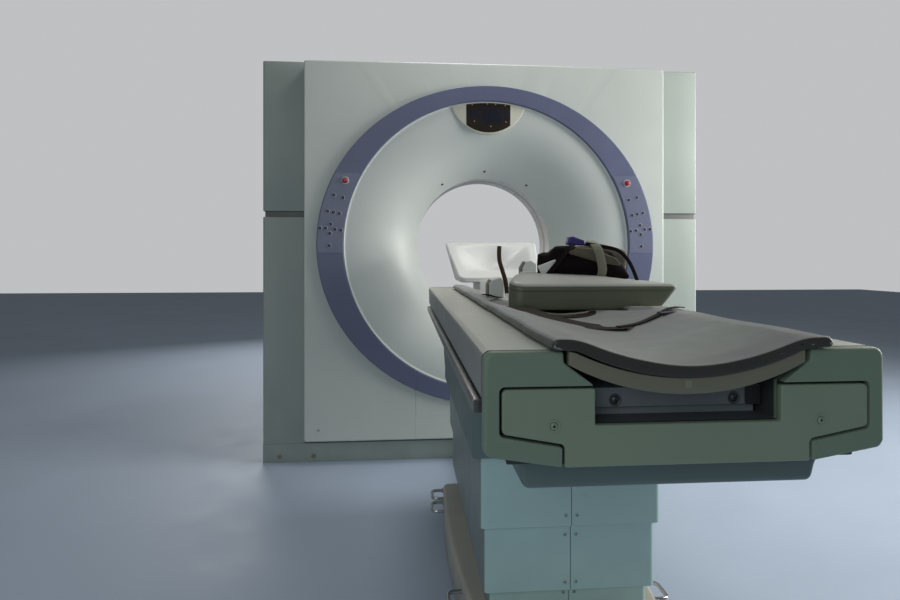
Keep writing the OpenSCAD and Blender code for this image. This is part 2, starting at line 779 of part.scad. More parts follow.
// Glide pads around the top of a pedestal cover, reaching the cover outside it
module glides(step, top, reach) {
    x = stage_half - step;
    for (s = [-1, 1]) both() block(x - 1, x + reach, pedestal_mid + s * 300 - 30, pedestal_mid + s * 300 + 30,
        top - glide_h, top);
}
module upper_stage() {
    color("lightslategray") {
        stage(0, upper_z, upper_h);
        glides(0, upper_z + upper_h, skirt_half - skin - stage_half);
    }
}
module middle_stage() {
    color("lightslategray") {
        stage(stage_step, middle_z, lower_h);
        glides(stage_step, middle_z + lower_h, stage_step - skin);
    }
}
module lower_stage() {
    color("lightslategray") {
        stage(stage_step + stage_step_low, base_h, lower_h);
        glides(stage_step + stage_step_low, base_h + lower_h, stage_step_low - skin);
    }
}

// Square tubes of the two telescoping lift columns, the moving ones with glide pads at their foot
module square_tube(w, z0, h) {
    translate([0, 0, z0]) linear_extrude(h) difference() {
        square(w, center = true);
        square(w - 2 * column_wall, center = true);
    }
}
module column(inset, z0, h, padded) {
    for (y = column_ys) translate([0, y, 0]) {
        square_tube(column_w - 2 * inset, z0, h);
        if (padded) for (a = [0:90:270]) rotate([0, 0, a]) translate([column_w / 2 - inset, 0, z0 + 15])
            translate([0, -25, -12]) cube([column_gap, 50, 24]);
    }
}
column_inset = column_wall + column_gap;
module column_outer() { color("gray") column(0, base_floor, column_h, false); }
module column_middle() { color("silver") column(column_inset, base_floor + 3 - lift_low / 2, column_h, true); }
module column_inner() {
    color("silver") column(2 * column_inset, base_floor + 5 - lift_low,
        plate_under - (base_floor + 5 - lift_low), true);
}

// Section of the table housing: top, sides, side recesses and the open channel
trough_half = top_half + 5;
trough_z = housing_top - 16;
trough_low = housing_top - 49;
function housing_side(round) = concat(
    [[recess_half, housing_low], [recess_half, side_low], [housing_half, side_low]],
    arc(housing_half - round, housing_top - round, round, 0, 90, 5),
    [[trough_half, housing_top], [trough_half, trough_z], [channel_half, trough_low],
     [channel_half, channel_z]]);
function mirror_points(p) = [for (i = [len(p) - 1:-1:0]) [-p[i][0], p[i][1]]];
module housing_section() { polygon(concat(housing_side(12), mirror_points(housing_side(12)))); }
module housing_hollow() {
    w = housing_wall;
    both() polygon([
        [channel_half + w, housing_low + w], [recess_half - w, housing_low + w],
        [recess_half - w, side_low + w], [housing_half - w, side_low + w],
        [housing_half - w, housing_top - w], [trough_half + w - 1, housing_top - w],
        [trough_half + w - 1, trough_z - 4], [channel_half + w, trough_low - 3]]);
    translate([-channel_half, housing_low + w])
        square([2 * channel_half, plate_under - housing_low - w]);
}
// Outline of the near end of the housing
function end_side(round) = concat(
    [[end_low_half, housing_low], [housing_half - 14, housing_low + 16], [housing_half, housing_low + 34]],
    arc(housing_half - round, housing_top - round, round, 0, 90, 5),
    [[trough_half, housing_top], [trough_half, trough_z], [channel_half, trough_low],
     [channel_half, channel_z]]);
end_low_half = 189;
module housing() {
    back = -near_y + end_t;
    color("beige") difference() {
        union() {
            along_y(-near_y, back) polygon(concat(end_side(12), mirror_points(end_side(12))));
            along_y(back, -far_y) housing_section();
        }
        along_y(back, -far_y - far_slope - housing_wall) housing_hollow();
        along_y(-near_y - 1, -near_y + end_cover_t) end_cover_outline(0);
        block(-skirt_half + skin, skirt_half - skin, -pedestal_near - skin - 5, -pedestal_far + skin + 5,
            housing_low - 1, plate_under);
        along_x(-housing_half - 1, housing_half + 1) polygon([
            [-far_y, housing_top + 1], [-far_y - far_slope, housing_low], [-far_y - far_slope, housing_low - 1],
            [-far_y + 1, housing_low - 1], [-far_y + 1, housing_top + 1]]);
    }
}

// U-shaped cover that closes the near end around the channel
function end_cover_side(inset) = [
    [end_low_half - inset, housing_low - 1 + inset * 0], [end_low_half - inset, housing_low + 29 + inset],
    [housing_half - 23 - inset, housing_low + 46 + inset], [housing_half - 23 - inset, side_low + 22 - inset],
    [channel_half, side_low + 22 - inset], [channel_half, channel_z]];
module end_cover_outline(inset) {
    polygon(concat(end_cover_side(inset), mirror_points(end_cover_side(inset))));
}
module end_cover() {
    color("darkseagreen") difference() {
        along_y(-near_y, -near_y + end_cover_t) end_cover_outline(end_groove);
        block(-housing_half, housing_half, -near_y - 1, 0, housing_low - 2, housing_low);
    }
}

// Belly under the near end and skirt around the pedestal
// The far end slopes out from the skirt to the housing
function far_wedge(wall) = let (y1 = -pedestal_far + skin + 9, y2 = -far_y - far_slope - 20 - 2 * wall)
    concat([[y1, housing_low - wedge_h + 1.5 * wall], [y1 - 20, housing_low - wedge_h + 1.5 * wall]],
        wall > 0 ? [[y1 - 20, housing_low + 1], [y2, housing_low + 1]] : [[y1 - 20, housing_low]],
        [[y2, housing_low]]);
function belly_side(inset) = [[belly_half + 28 - inset, housing_low + (inset > 0 ? 1 : 0)],
    [belly_half - inset, belly_z + inset]];
module under_cover() {
    y0 = -pedestal_near - skin - 9;
    y1 = -pedestal_far + skin + 9;
    color("lightslategray") difference() {
        union() {
            along_y(-near_y + belly_back, y0 + 1)
                polygon(concat(belly_side(0), mirror_points(belly_side(0))));
            translate([0, 0, skirt_z]) linear_extrude(housing_low - skirt_z)
                polygon(rounded(-skirt_half, y0, skirt_half, y1, stage_round));
            along_x(-skirt_half, skirt_half) polygon(far_wedge(0));
        }
        along_x(-skirt_half + skin, skirt_half - skin) polygon(far_wedge(skin));
        along_y(-near_y + belly_back + skin, y0)
            polygon(concat(belly_side(skin), mirror_points(belly_side(skin))));
        translate([0, 0, skirt_z - 1]) linear_extrude(housing_low - skirt_z + 2)
            polygon(rounded(-skirt_half + skin, y0 + skin, skirt_half - skin, y1 - skin, stage_round - skin));
    }
}

// Accessory rail in the recess of each side, on four brackets
module side_rails() {
    rail_z = side_low - 28;
    color("silver") both() {
        block(housing_half - 8, housing_half + 10, -near_y + 50, -far_y - far_slope, rail_z, rail_z + 22);
        for (i = [0:3]) let (y = -near_y + 150 + i * 500)
            block(recess_half, housing_half - 8, y, y + 30, rail_z + 4, rail_z + 18);
    }
}

// Hollow beam on the channel floor that guides the tabletop
module carriage_beam() {
    wall = 6;
    beam_top = top_low - fit;
    color("lightgray") difference() {
        block(-beam_half, beam_half, -near_y + 46, -far_y - 60, channel_z, beam_top);
        block(-beam_half + wall, beam_half - wall, -near_y + 46 + wall, -far_y - 59,
            channel_z + wall, beam_top - wall);
    }
}

// Curved tabletop, thickest at its middle
function crescent(half) = let (n = 16) concat(
    [for (i = [0:n]) let (x = -half + 2 * half * i / n) [x, top_low + sag(under_r, x)]],
    [for (i = [n:-1:0]) let (x = -half + 2 * half * i / n)
        [x, max(top_low + top_t + sag(hollow_r, x), top_low + sag(under_r, x) + 1)]]);
module tabletop() { color("dimgray") along_y(-near_y + 3, -top_far) polygon(crescent(top_half)); }
module end_cap() { color("darkkhaki") along_y(-near_y + 3 - cap_t, -near_y + 3) polygon(crescent(top_half)); }

// Thin mattress that follows the hollow of the tabletop
function pad_side() = let (n = 8, low = top_low + top_t + fit) concat(
    [for (i = [0:n]) let (x = (top_half - 3) * i / n) [x, low + sag(hollow_r, x)]],
    [[top_half + 2, housing_top + 1.6], [pad_half, housing_top + 2.5]],
    [for (i = [n:-1:0]) let (x = pad_half * i / n) [x, low + pad_t + sag(pad_r, x)]]);
module pad_section() {
    polygon(concat(pad_side(), mirror_points(pad_side())));
}
module mattress() { color("gray") along_y(-near_y - cap_t, -pad_far) pad_section(); }

// Scooped headrest on a tongue that lies in the tabletop
module headrest() {
    low = housing_top + 7;
    tongue = 90;
    y1 = -head_far;
    y0 = y1 - head_len;
    color("lightcyan") {
        difference() {
            intersection() {
                along_y(y0, y1) polygon([[-head_half + 50, low], [head_half - 50, low],
                    [head_half, head_top], [-head_half, head_top]]);
                along_x(-head_half, head_half) polygon([[y0, low], [y1, low], [y1, head_top],
                    [y1 - 15, head_top], [y0, low + 35]]);
            }
            translate([0, y0 + 70, low + 15 + head_hollow]) sphere(r = head_hollow, $fn = ring_fn);
        }
        along_y(-pad_far + 10, y1 - 60) polygon(concat(
            [for (i = [0:8]) let (x = -tongue + 2 * tongue * i / 8)
                [x, top_low + top_t + fit + sag(hollow_r, x)]],
            [[tongue, low + 5], [-tongue, low + 5]]));
    }
}

// Foam positioning board that lies across the mattress
module positioning_board() {
    low_left = -146;
    low_right = 268;
    slant = 32;
    color("darkseagreen") difference() {
        along_y(-board_near, -board_near + board_len) polygon([
            [low_left, board_low], [low_right, board_low], [low_right + slant, board_low + board_t - 16],
            [low_right + slant - 8, board_low + board_t], [low_left + 6, board_low + board_t],
            [low_left, board_low + board_t - 8]]);
        along_y(-board_near - 1, -board_near + board_len + 1) polygon(concat(
            [for (i = [-8:8]) let (x = pad_half * i / 8) [x, top_low + top_t + 2 * fit + pad_t + sag(pad_r, x)]],
            [[pad_half, board_low - 30], [-pad_half, board_low - 30]]));
    }
}

// Folded bag with straps on the board
module strap_bag() {
    top_z = board_low + board_t;
    color("#2a1c18") along_y(-board_near + 120, -board_near + 120 + bag_len) polygon([
        [-56, top_z], [236, top_z], [222, top_z + bag_h * 0.7], [170, top_z + bag_h],
        [0, top_z + bag_h], [-40, top_z + bag_h * 0.6]]);
}

stand_frame();
mirrored() side_cover();  // left_side_cover
side_cover();  // right_side_cover
floor_plinth();
tilt_bearings();
table_base();
base_loops();
lower_stage();
column_outer();
tilt_frame();
front_cover();
lower_cover();
control_band();
front_funnel();
bore_liner();
rear_cover();
rear_funnel();
display_bezel();
display_glass();
light_windows();
mirrored() color("slateblue") keypad();  // left_keypad
color("slateblue") keypad();  // right_keypad
drum_bearing();
drum_motor();
drive_belt();
drum();
xray_tube();
detector();
generator();
slip_ring();
motor_pulley();
middle_stage();
upper_stage();
column_middle();
column_inner();
housing();
end_cover();
under_cover();
side_rails();
carriage_beam();
tabletop();
end_cap();
mattress();
headrest();
positioning_board();
strap_bag();
mirrored() stop_button();  // left_stop
stop_button();  // right_stop
for (i = [0:5]) {
    mirrored() key(i);
    key(i);
}
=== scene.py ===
import bmesh
import bpy
import math
import numpy as np
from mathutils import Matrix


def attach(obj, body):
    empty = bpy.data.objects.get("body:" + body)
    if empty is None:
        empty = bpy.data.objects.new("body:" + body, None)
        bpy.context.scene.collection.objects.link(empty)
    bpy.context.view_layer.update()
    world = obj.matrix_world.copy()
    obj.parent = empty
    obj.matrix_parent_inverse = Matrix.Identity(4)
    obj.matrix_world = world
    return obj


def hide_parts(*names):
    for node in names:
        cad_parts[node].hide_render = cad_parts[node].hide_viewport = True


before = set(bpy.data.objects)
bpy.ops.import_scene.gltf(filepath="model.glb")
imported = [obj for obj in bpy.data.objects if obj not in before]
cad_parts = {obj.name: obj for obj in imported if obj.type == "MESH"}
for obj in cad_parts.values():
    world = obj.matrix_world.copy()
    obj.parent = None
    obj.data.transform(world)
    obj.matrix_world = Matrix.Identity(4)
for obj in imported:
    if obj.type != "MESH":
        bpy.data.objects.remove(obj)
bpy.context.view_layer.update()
print("frame loaded")

cameraSettings = {"place": (-0.416, -3.097, 1.013), "turn": 4.58, "lens": 22.92, "shiftUp": -0.0473,
                  "sensor": 36.0, "nearest": 0.02}


def makeCamera(s):
    data = bpy.data.cameras.new("photoCamera")
    data.sensor_fit = "HORIZONTAL"
    data.sensor_width = s["sensor"]
    data.lens = s["lens"]
    data.shift_y = s["shiftUp"]
    data.clip_start = s["nearest"]
    camera = bpy.data.objects.new("photoCamera", data)
    camera.location = s["place"]
    camera.rotation_euler = (math.radians(90), 0, -math.radians(s["turn"]))
    bpy.context.collection.objects.link(camera)
    bpy.context.scene.camera = camera


makeCamera(cameraSettings)
print("camera placed")

boreZ = 1.075  # height of the bore axis above the floor
axisOrder = {"x": (2, 0, 1), "y": (0, 2, 1), "z": (0, 1, 2)}  # where outline u, v and depth w go
sharp = 1e-4  # radius of a corner that stays sharp


# Corners of a closed outline become arcs: each arc's centre lies on the corner's bisector.
def fillet(points, radius, steps=6):
    p = np.asarray(points, float)
    r = np.broadcast_to(np.asarray(radius, float), len(p))[:, None]
    before = np.roll(p, 1, 0) - p
    after = np.roll(p, -1, 0) - p
    before /= np.linalg.norm(before, axis=1, keepdims=True)
    after /= np.linalg.norm(after, axis=1, keepdims=True)
    half = np.arccos(np.clip((before * after).sum(1), -1, 1))[:, None] / 2
    bisector = before + after
    bisector /= np.maximum(np.linalg.norm(bisector, axis=1, keepdims=True), 1e-9)
    centre = p + bisector * r / np.sin(half)
    first = p + before * r / np.tan(half) - centre
    last = p + after * r / np.tan(half) - centre
    a0 = np.arctan2(first[:, 1], first[:, 0])
    turn = np.arctan2(last[:, 1], last[:, 0]) - a0
    turn = (turn + np.pi) % (2 * np.pi) - np.pi
    a = a0[:, None] + turn[:, None] * np.linspace(0, 1, steps)
    arcs = centre[:, None, :] + r[:, :, None] * np.stack([np.cos(a), np.sin(a)], -1)
    return arcs.reshape(-1, 2)


def corners(x0, y0, x1, y1):
    return [(x0, y0), (x1, y0), (x1, y1), (x0, y1)]


def rectangle(x0, y0, x1, y1, radius, steps=6):
    return fillet(corners(x0, y0, x1, y1), radius, steps)


def flipX(outline):
    return np.asarray(outline)[::-1] * (-1, 1)


def bothSides(half):
    return np.vstack([half, flipX(half)])


def arc(cx, cy, r, start, end, count):
    a = np.radians(np.linspace(start, end, count))
    return np.column_stack([cx + r * np.cos(a), cy + r * np.sin(a)])


# Points at the given angles on a circle, or an oval with its own half height, about the bore axis.
def ringPoints(angle, halfX, halfZ=None):
    return np.column_stack([halfX * np.cos(angle), boreZ + (halfZ or halfX) * np.sin(angle)])


# A closed outline sampled again at even steps of its length.
def evenly(loop, count):
    closed = np.vstack([loop, loop[:1]])
    along = np.concatenate([[0], np.cumsum(np.linalg.norm(np.diff(closed, axis=0), axis=1))])
    want = np.linspace(0, along[-1], count, endpoint=False)
    return np.column_stack([np.interp(want, along, closed[:, k]) for k in (0, 1)])


# Each point of a closed outline moves along the mean normal of its two edges by d.
def inset(loop, d):
    loop = np.asarray(loop, float)
    edge = np.roll(loop, -1, 0) - loop
    length = np.linalg.norm(edge, axis=1, keepdims=True)
    edge = edge / np.maximum(length, 1e-9)
    normal = np.stack([-edge[:, 1], edge[:, 0]], 1)
    area = np.sum(loop[:, 0] * np.roll(loop[:, 1], -1) - np.roll(loop[:, 0], -1) * loop[:, 1])
    if area < 0:
        normal = -normal
    mean = normal + np.roll(normal, 1, 0)
    mean /= np.maximum((mean ** 2).sum(1, keepdims=True) / 2, 1e-9)
    return loop + mean * np.reshape(d, (-1, 1))


# Outline points (u, v) at depth w become points in space along the named axis.
def placed(loop, w, axis="y"):
    w = np.broadcast_to(np.asarray(w, float), len(loop))
    return np.column_stack([loop, w])[:, axisOrder[axis]]


def addMesh(name, vertices, faces):
    mesh = bpy.data.meshes.new(name)
    mesh.from_pydata(np.asarray(vertices).tolist(), [], faces)
    mesh.update()
    piece = bpy.data.objects.new(name, mesh)
    bpy.context.collection.objects.link(piece)
    return piece


def pointsOf(piece):
    points = np.empty(len(piece.data.vertices) * 3)
    piece.data.vertices.foreach_get("co", points)
    return points.reshape(-1, 3)


def setPoints(piece, points):
    piece.data.vertices.foreach_set("co", np.ascontiguousarray(points).ravel())
    piece.data.update()


def outward(piece, merge=0.0):
    bm = bmesh.new()
    bm.from_mesh(piece.data)
    if merge:
        bmesh.ops.remove_doubles(bm, verts=bm.verts, dist=merge)
    bmesh.ops.recalc_face_normals(bm, faces=bm.faces)
    if bm.calc_volume(signed=True) < 0:
        bmesh.ops.reverse_faces(bm, faces=bm.faces)
    bm.to_mesh(piece.data)
    bm.free()
    return piece


# A grid of points: rows joined to rows by quads, wrapped around or stacked shut, ends capped.
# A long curved cap is zipped: quads join its two sides from the point that zipFrom names.
def grid(name, points, around=True, shut=False, caps=True, merge=0.0, zipFrom=None):
    p = np.asarray(points, float)
    m, n = p.shape[:2]
    i = np.arange(m if shut else m - 1)[:, None]
    j = np.arange(n if around else n - 1)[None, :]
    i2, j2 = (i + 1) % m, (j + 1) % n
    quads = np.stack([i * n + j, i * n + j2, i2 * n + j2, i2 * n + j], -1).reshape(-1, 4).tolist()
    if caps and around and not shut and zipFrom is None:
        quads += [list(range(n))[::-1], list(range((m - 1) * n, m * n))]
    if zipFrom is not None:
        k = (zipFrom + np.arange(n)) % n
        h = np.arange(n // 2 - 1)
        cap = np.stack([k[h], k[h + 1], k[n - 2 - h], k[n - 1 - h]], -1)
        quads += cap.tolist() + (cap + (m - 1) * n)[:, ::-1].tolist()
    if caps and shut and not around:
        quads += [list(range(0, m * n, n)), list(range(n - 1, m * n, n))[::-1]]
    return outward(addMesh(name, p.reshape(-1, 3), quads), merge)


# A quarter circle from the flat face to the side: inset and depth of each step of a rounded edge.
def edgeSteps(radius, steps=5):
    a = np.linspace(0, np.pi / 2, steps)
    return radius * (1 - np.sin(a)), radius * (1 - np.cos(a))


# Rows of a rounded edge, from the face at the near end to the side, or back to the far end's face.
def edgeRows(loop, end, radius, steps, axis="y", far=False):
    ins, dep = edgeSteps(radius, steps)
    rows = [placed(inset(loop, ins[i]), end - dep[i] if far else end + dep[i], axis) for i in range(steps)]
    return rows[::-1] if far else rows


# A plate or block: one outline carried from lo to hi, its two end edges rounded.
def slab(name, outline, lo, hi, axis="y", edge=0.003, steps=4, hold=0.0004):
    face = inset(outline, edge + hold)
    rows = edgeRows(outline, lo, edge, steps, axis) + edgeRows(outline, hi, edge, steps, axis, far=True)
    return grid(name, [placed(face, lo, axis)] + rows + [placed(face, hi, axis)])


# A shape turned about the bore axis, or another line along Y: profile holds (radius, y).
def turned(name, profile, centre=(0.0, boreZ), count=160, shut=True):
    profile = np.asarray(profile, float)
    a = np.linspace(0, 2 * np.pi, count, endpoint=False)
    r, y = profile[:, 0][:, None], profile[:, 1][:, None]
    x = centre[0] + r * np.cos(a)
    z = centre[1] + r * np.sin(a)
    return grid(name, np.stack([x, np.broadcast_to(y, x.shape), z], -1), shut=shut, caps=not shut)


# A tube along a path: each ring stands square to the path, turned by the upward direction.
def tube(name, path, radius, count, closed=False):
    p = np.asarray(path, float)
    tangent = np.roll(p, -1, 0) - np.roll(p, 1, 0) if closed else np.gradient(p, axis=0)
    tangent /= np.linalg.norm(tangent, axis=1, keepdims=True)
    side = np.cross(tangent, np.broadcast_to((0, 0, 1), p.shape))
    side /= np.linalg.norm(side, axis=1, keepdims=True)
    normal = np.cross(side, tangent)
    a = np.linspace(0, 2 * np.pi, count, endpoint=False)[None, :, None]
    points = p[:, None, :] + radius * (np.cos(a) * side[:, None, :] + np.sin(a) * normal[:, None, :])
    return grid(name, points, shut=closed, caps=not closed)


def mirrored(piece, name):
    faces = [list(f.vertices) for f in piece.data.polygons]
    return outward(addMesh(name, pointsOf(piece) * (-1, 1, 1), faces))


# Several meshes become one piece.
def joined(name, parts):
    points, faces, base = [], [], 0
    for part in parts:
        points.append(pointsOf(part))
        faces += [[base + v for v in f.vertices] for f in part.data.polygons]
        base += len(part.data.vertices)
        bpy.data.objects.remove(part)
    return addMesh(name, np.concatenate(points), faces)


def smooth(piece, angle=40):
    piece.data.polygons.foreach_set("use_smooth", np.ones(len(piece.data.polygons), bool))
    piece.data.set_sharp_from_angle(angle=math.radians(angle))


def dress(piece, body, material, stands=None, angle=40):
    smooth(piece, angle)
    piece.data.materials.clear()
    piece.data.materials.append(materials[material])
    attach(piece, body)
    if stands:
        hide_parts(stands)
    return piece


# Faces that the test picks, by their centres and normals, get another material.
def paintFaces(piece, material, test):
    piece.data.materials.append(materials[material])
    index = len(piece.data.materials) - 1
    count = len(piece.data.polygons)
    centre, normal, before = np.empty(count * 3), np.empty(count * 3), np.empty(count, np.int32)
    piece.data.polygons.foreach_get("center", centre)
    piece.data.polygons.foreach_get("normal", normal)
    piece.data.polygons.foreach_get("material_index", before)
    picked = test(centre.reshape(-1, 3), normal.reshape(-1, 3))
    piece.data.polygons.foreach_set("material_index", np.where(picked, index, before).astype(np.int32))
    piece.data.update()


def nodeSet(name):
    material = bpy.data.materials.new(name)
    material.use_nodes = True
    tree = material.node_tree
    coords = addNode(tree, "ShaderNodeTexCoord").outputs["Object"]
    return material, tree, tree.nodes["Principled BSDF"], coords


def addNode(tree, kind, inputs=None, **settings):
    node = tree.nodes.new(kind)
    for key, value in settings.items():
        setattr(node, key, value)
    for key, value in (inputs or {}).items():
        node.inputs[key].default_value = value
    return node


def noiseAt(tree, coords, scale, detail=4.0, stretch=None, rough=0.5):
    if stretch:
        mapping = addNode(tree, "ShaderNodeMapping", {"Scale": stretch})
        tree.links.new(coords, mapping.inputs["Vector"])
        coords = mapping.outputs["Vector"]
    noise = addNode(tree, "ShaderNodeTexNoise", {"Scale": scale, "Detail": detail, "Roughness": rough})
    tree.links.new(coords, noise.inputs["Vector"])
    return noise.outputs["Fac"]


def ranged(tree, value, lo, hi, newLo, newHi):
    limits = {"From Min": lo, "From Max": hi, "To Min": newLo, "To Max": newHi}
    node = addNode(tree, "ShaderNodeMapRange", limits)
    tree.links.new(value, node.inputs["Value"])
    return node.outputs["Result"]


def multiplied(tree, a, b):
    node = addNode(tree, "ShaderNodeMath", operation="MULTIPLY")
    tree.links.new(a, node.inputs[0])
    tree.links.new(b, node.inputs[1])
    return node.outputs[0]


def mixed(tree, factor, a, b):
    node = addNode(tree, "ShaderNodeMix", data_type="RGBA")
    for socket, value in ((node.inputs[0], factor), (node.inputs[6], a), (node.inputs[7], b)):
        if isinstance(value, bpy.types.NodeSocket):
            tree.links.new(value, socket)
        else:
            socket.default_value = value if isinstance(value, float) else (*value, 1.0)
    return node.outputs[2]


def bumped(tree, height, strength, distance, under=None):
    relief = addNode(tree, "ShaderNodeBump", {"Strength": strength, "Distance": distance})
    tree.links.new(height, relief.inputs["Height"])
    if under is not None:
        tree.links.new(under, relief.inputs["Normal"])
    return relief.outputs["Normal"]


def shade(colour, k):
    return tuple(min(1.0, max(0.0, c * k)) for c in colour)


# Painted or moulded surface: faint blotches, a fine grain in the bump, worn gloss, scuffs, darker specks
# towards the floor.
def paintOf(name, colour, rough, blotch, blotchScale=3.0, grain=900.0, bump=0.04, scuff=0.0, low=None,
            coat=0.0):
    material, tree, shader, coords = nodeSet(name)
    link = tree.links.new
    wide = ranged(tree, noiseAt(tree, coords, blotchScale, 5.0), 0.3, 0.7, 0.0, 1.0)
    base = mixed(tree, wide, shade(colour, 1 - blotch), shade(colour, 1 + blotch))
    if scuff:
        marks = noiseAt(tree, coords, 14.0, 9.0, (1.0, 1.0, 3.2), 0.72)
        base = mixed(tree, ranged(tree, marks, 0.62, 0.72, 0.0, scuff), base, shade(colour, 0.5))
    if low:  # darker specks from the first height to the second, at the third value's strength
        height = addNode(tree, "ShaderNodeSeparateXYZ")
        link(coords, height.inputs[0])
        lowDarkening = ranged(tree, height.outputs["Z"], low[0], low[1], low[2], 0.0)
        speck = multiplied(tree, lowDarkening, ranged(tree, noiseAt(tree, coords, 9.0, 8.0), 0.35, 0.65, 0.2, 1.0))
        base = mixed(tree, speck, base, shade(colour, 0.42))
    gloss = noiseAt(tree, coords, blotchScale * 4, 6.0)
    link(base, shader.inputs["Base Color"])
    link(ranged(tree, gloss, 0.3, 0.7, rough - 0.06, rough + 0.07), shader.inputs["Roughness"])
    shader.inputs["Coat Weight"].default_value = coat
    if bump:
        link(bumped(tree, noiseAt(tree, coords, grain, 2.0), bump, 0.0006), shader.inputs["Normal"])
    return material


# Brushed or plated metal: long scratches along one axis in the gloss and bump.
def metalOf(name, colour, rough, along=(60.0, 2.0, 60.0), bump=0.05):
    material, tree, shader, coords = nodeSet(name)
    link = tree.links.new
    lines = noiseAt(tree, coords, 12.0, 4.0, along)
    link(mixed(tree, lines, shade(colour, 0.86), shade(colour, 1.08)), shader.inputs["Base Color"])
    link(ranged(tree, lines, 0.3, 0.7, rough - 0.08, rough + 0.12), shader.inputs["Roughness"])
    shader.inputs["Metallic"].default_value = 1.0
    link(bumped(tree, lines, bump, 0.0004), shader.inputs["Normal"])
    return material


# Vinyl or coated foam: leather grain from cells, soft creases, a slight sheen.
def vinylOf(name, colour, rough, bump=0.25, crease=0.3, blotch=0.05, second=None, grain=420.0, sheen=0.1):
    material, tree, shader, coords = nodeSet(name)
    link = tree.links.new
    wide = ranged(tree, noiseAt(tree, coords, 4.0, 5.0), 0.35, 0.65, 0.0, 1.0)
    gloss = noiseAt(tree, coords, 20.0, 5.0)
    base = mixed(tree, wide, shade(colour, 1 - blotch), second or shade(colour, 1 + blotch))
    link(base, shader.inputs["Base Color"])
    link(ranged(tree, gloss, 0.3, 0.7, rough - 0.07, rough + 0.08), shader.inputs["Roughness"])
    shader.inputs["Sheen Weight"].default_value = sheen
    cells = addNode(tree, "ShaderNodeTexVoronoi", {"Scale": grain})
    link(coords, cells.inputs["Vector"])
    fine = bumped(tree, cells.outputs["Distance"], bump, 0.0005)
    link(bumped(tree, noiseAt(tree, coords, 7.0, 3.0), crease, 0.004, fine), shader.inputs["Normal"])
    return material


# Woven webbing or nylon: two crossed waves make the weave, in colour and bump.
def wovenOf(name, colour, rough=0.75, threads=900.0, bump=0.5, dark=0.6, sheen=0.3):
    material, tree, shader, coords = nodeSet(name)
    link = tree.links.new
    waves = []
    for direction in ("X", "Z"):
        settings = {"Scale": threads / 6.28, "Distortion": 0.6, "Detail": 1.0}
        wave = addNode(tree, "ShaderNodeTexWave", settings, bands_direction=direction)
        link(coords, wave.inputs["Vector"])
        waves.append(wave.outputs["Fac"])
    weave = multiplied(tree, *waves)
    # Paler patches at random over the cloth.
    palerPatches = ranged(tree, noiseAt(tree, coords, 11.0, 5.0), 0.35, 0.7, 0.0, 0.5)
    base = mixed(tree, weave, shade(colour, dark), colour)
    link(mixed(tree, palerPatches, base, shade(colour, 1.25)), shader.inputs["Base Color"])
    shader.inputs["Roughness"].default_value = rough
    shader.inputs["Specular IOR Level"].default_value = 0.15
    shader.inputs["Sheen Weight"].default_value = sheen
    link(bumped(tree, weave, bump, 0.0007), shader.inputs["Normal"])
    return material


# Lamp dots behind the display glass glow faintly in two tints.
def lampOf(name, first, second, strength):
    material, tree, shader, coords = nodeSet(name)
    colour = mixed(tree, noiseAt(tree, coords, 60.0), first, second)
    shader.inputs["Emission Strength"].default_value = strength
    for socket in ("Base Color", "Emission Color"):
        tree.links.new(colour, shader.inputs[socket])
    return material


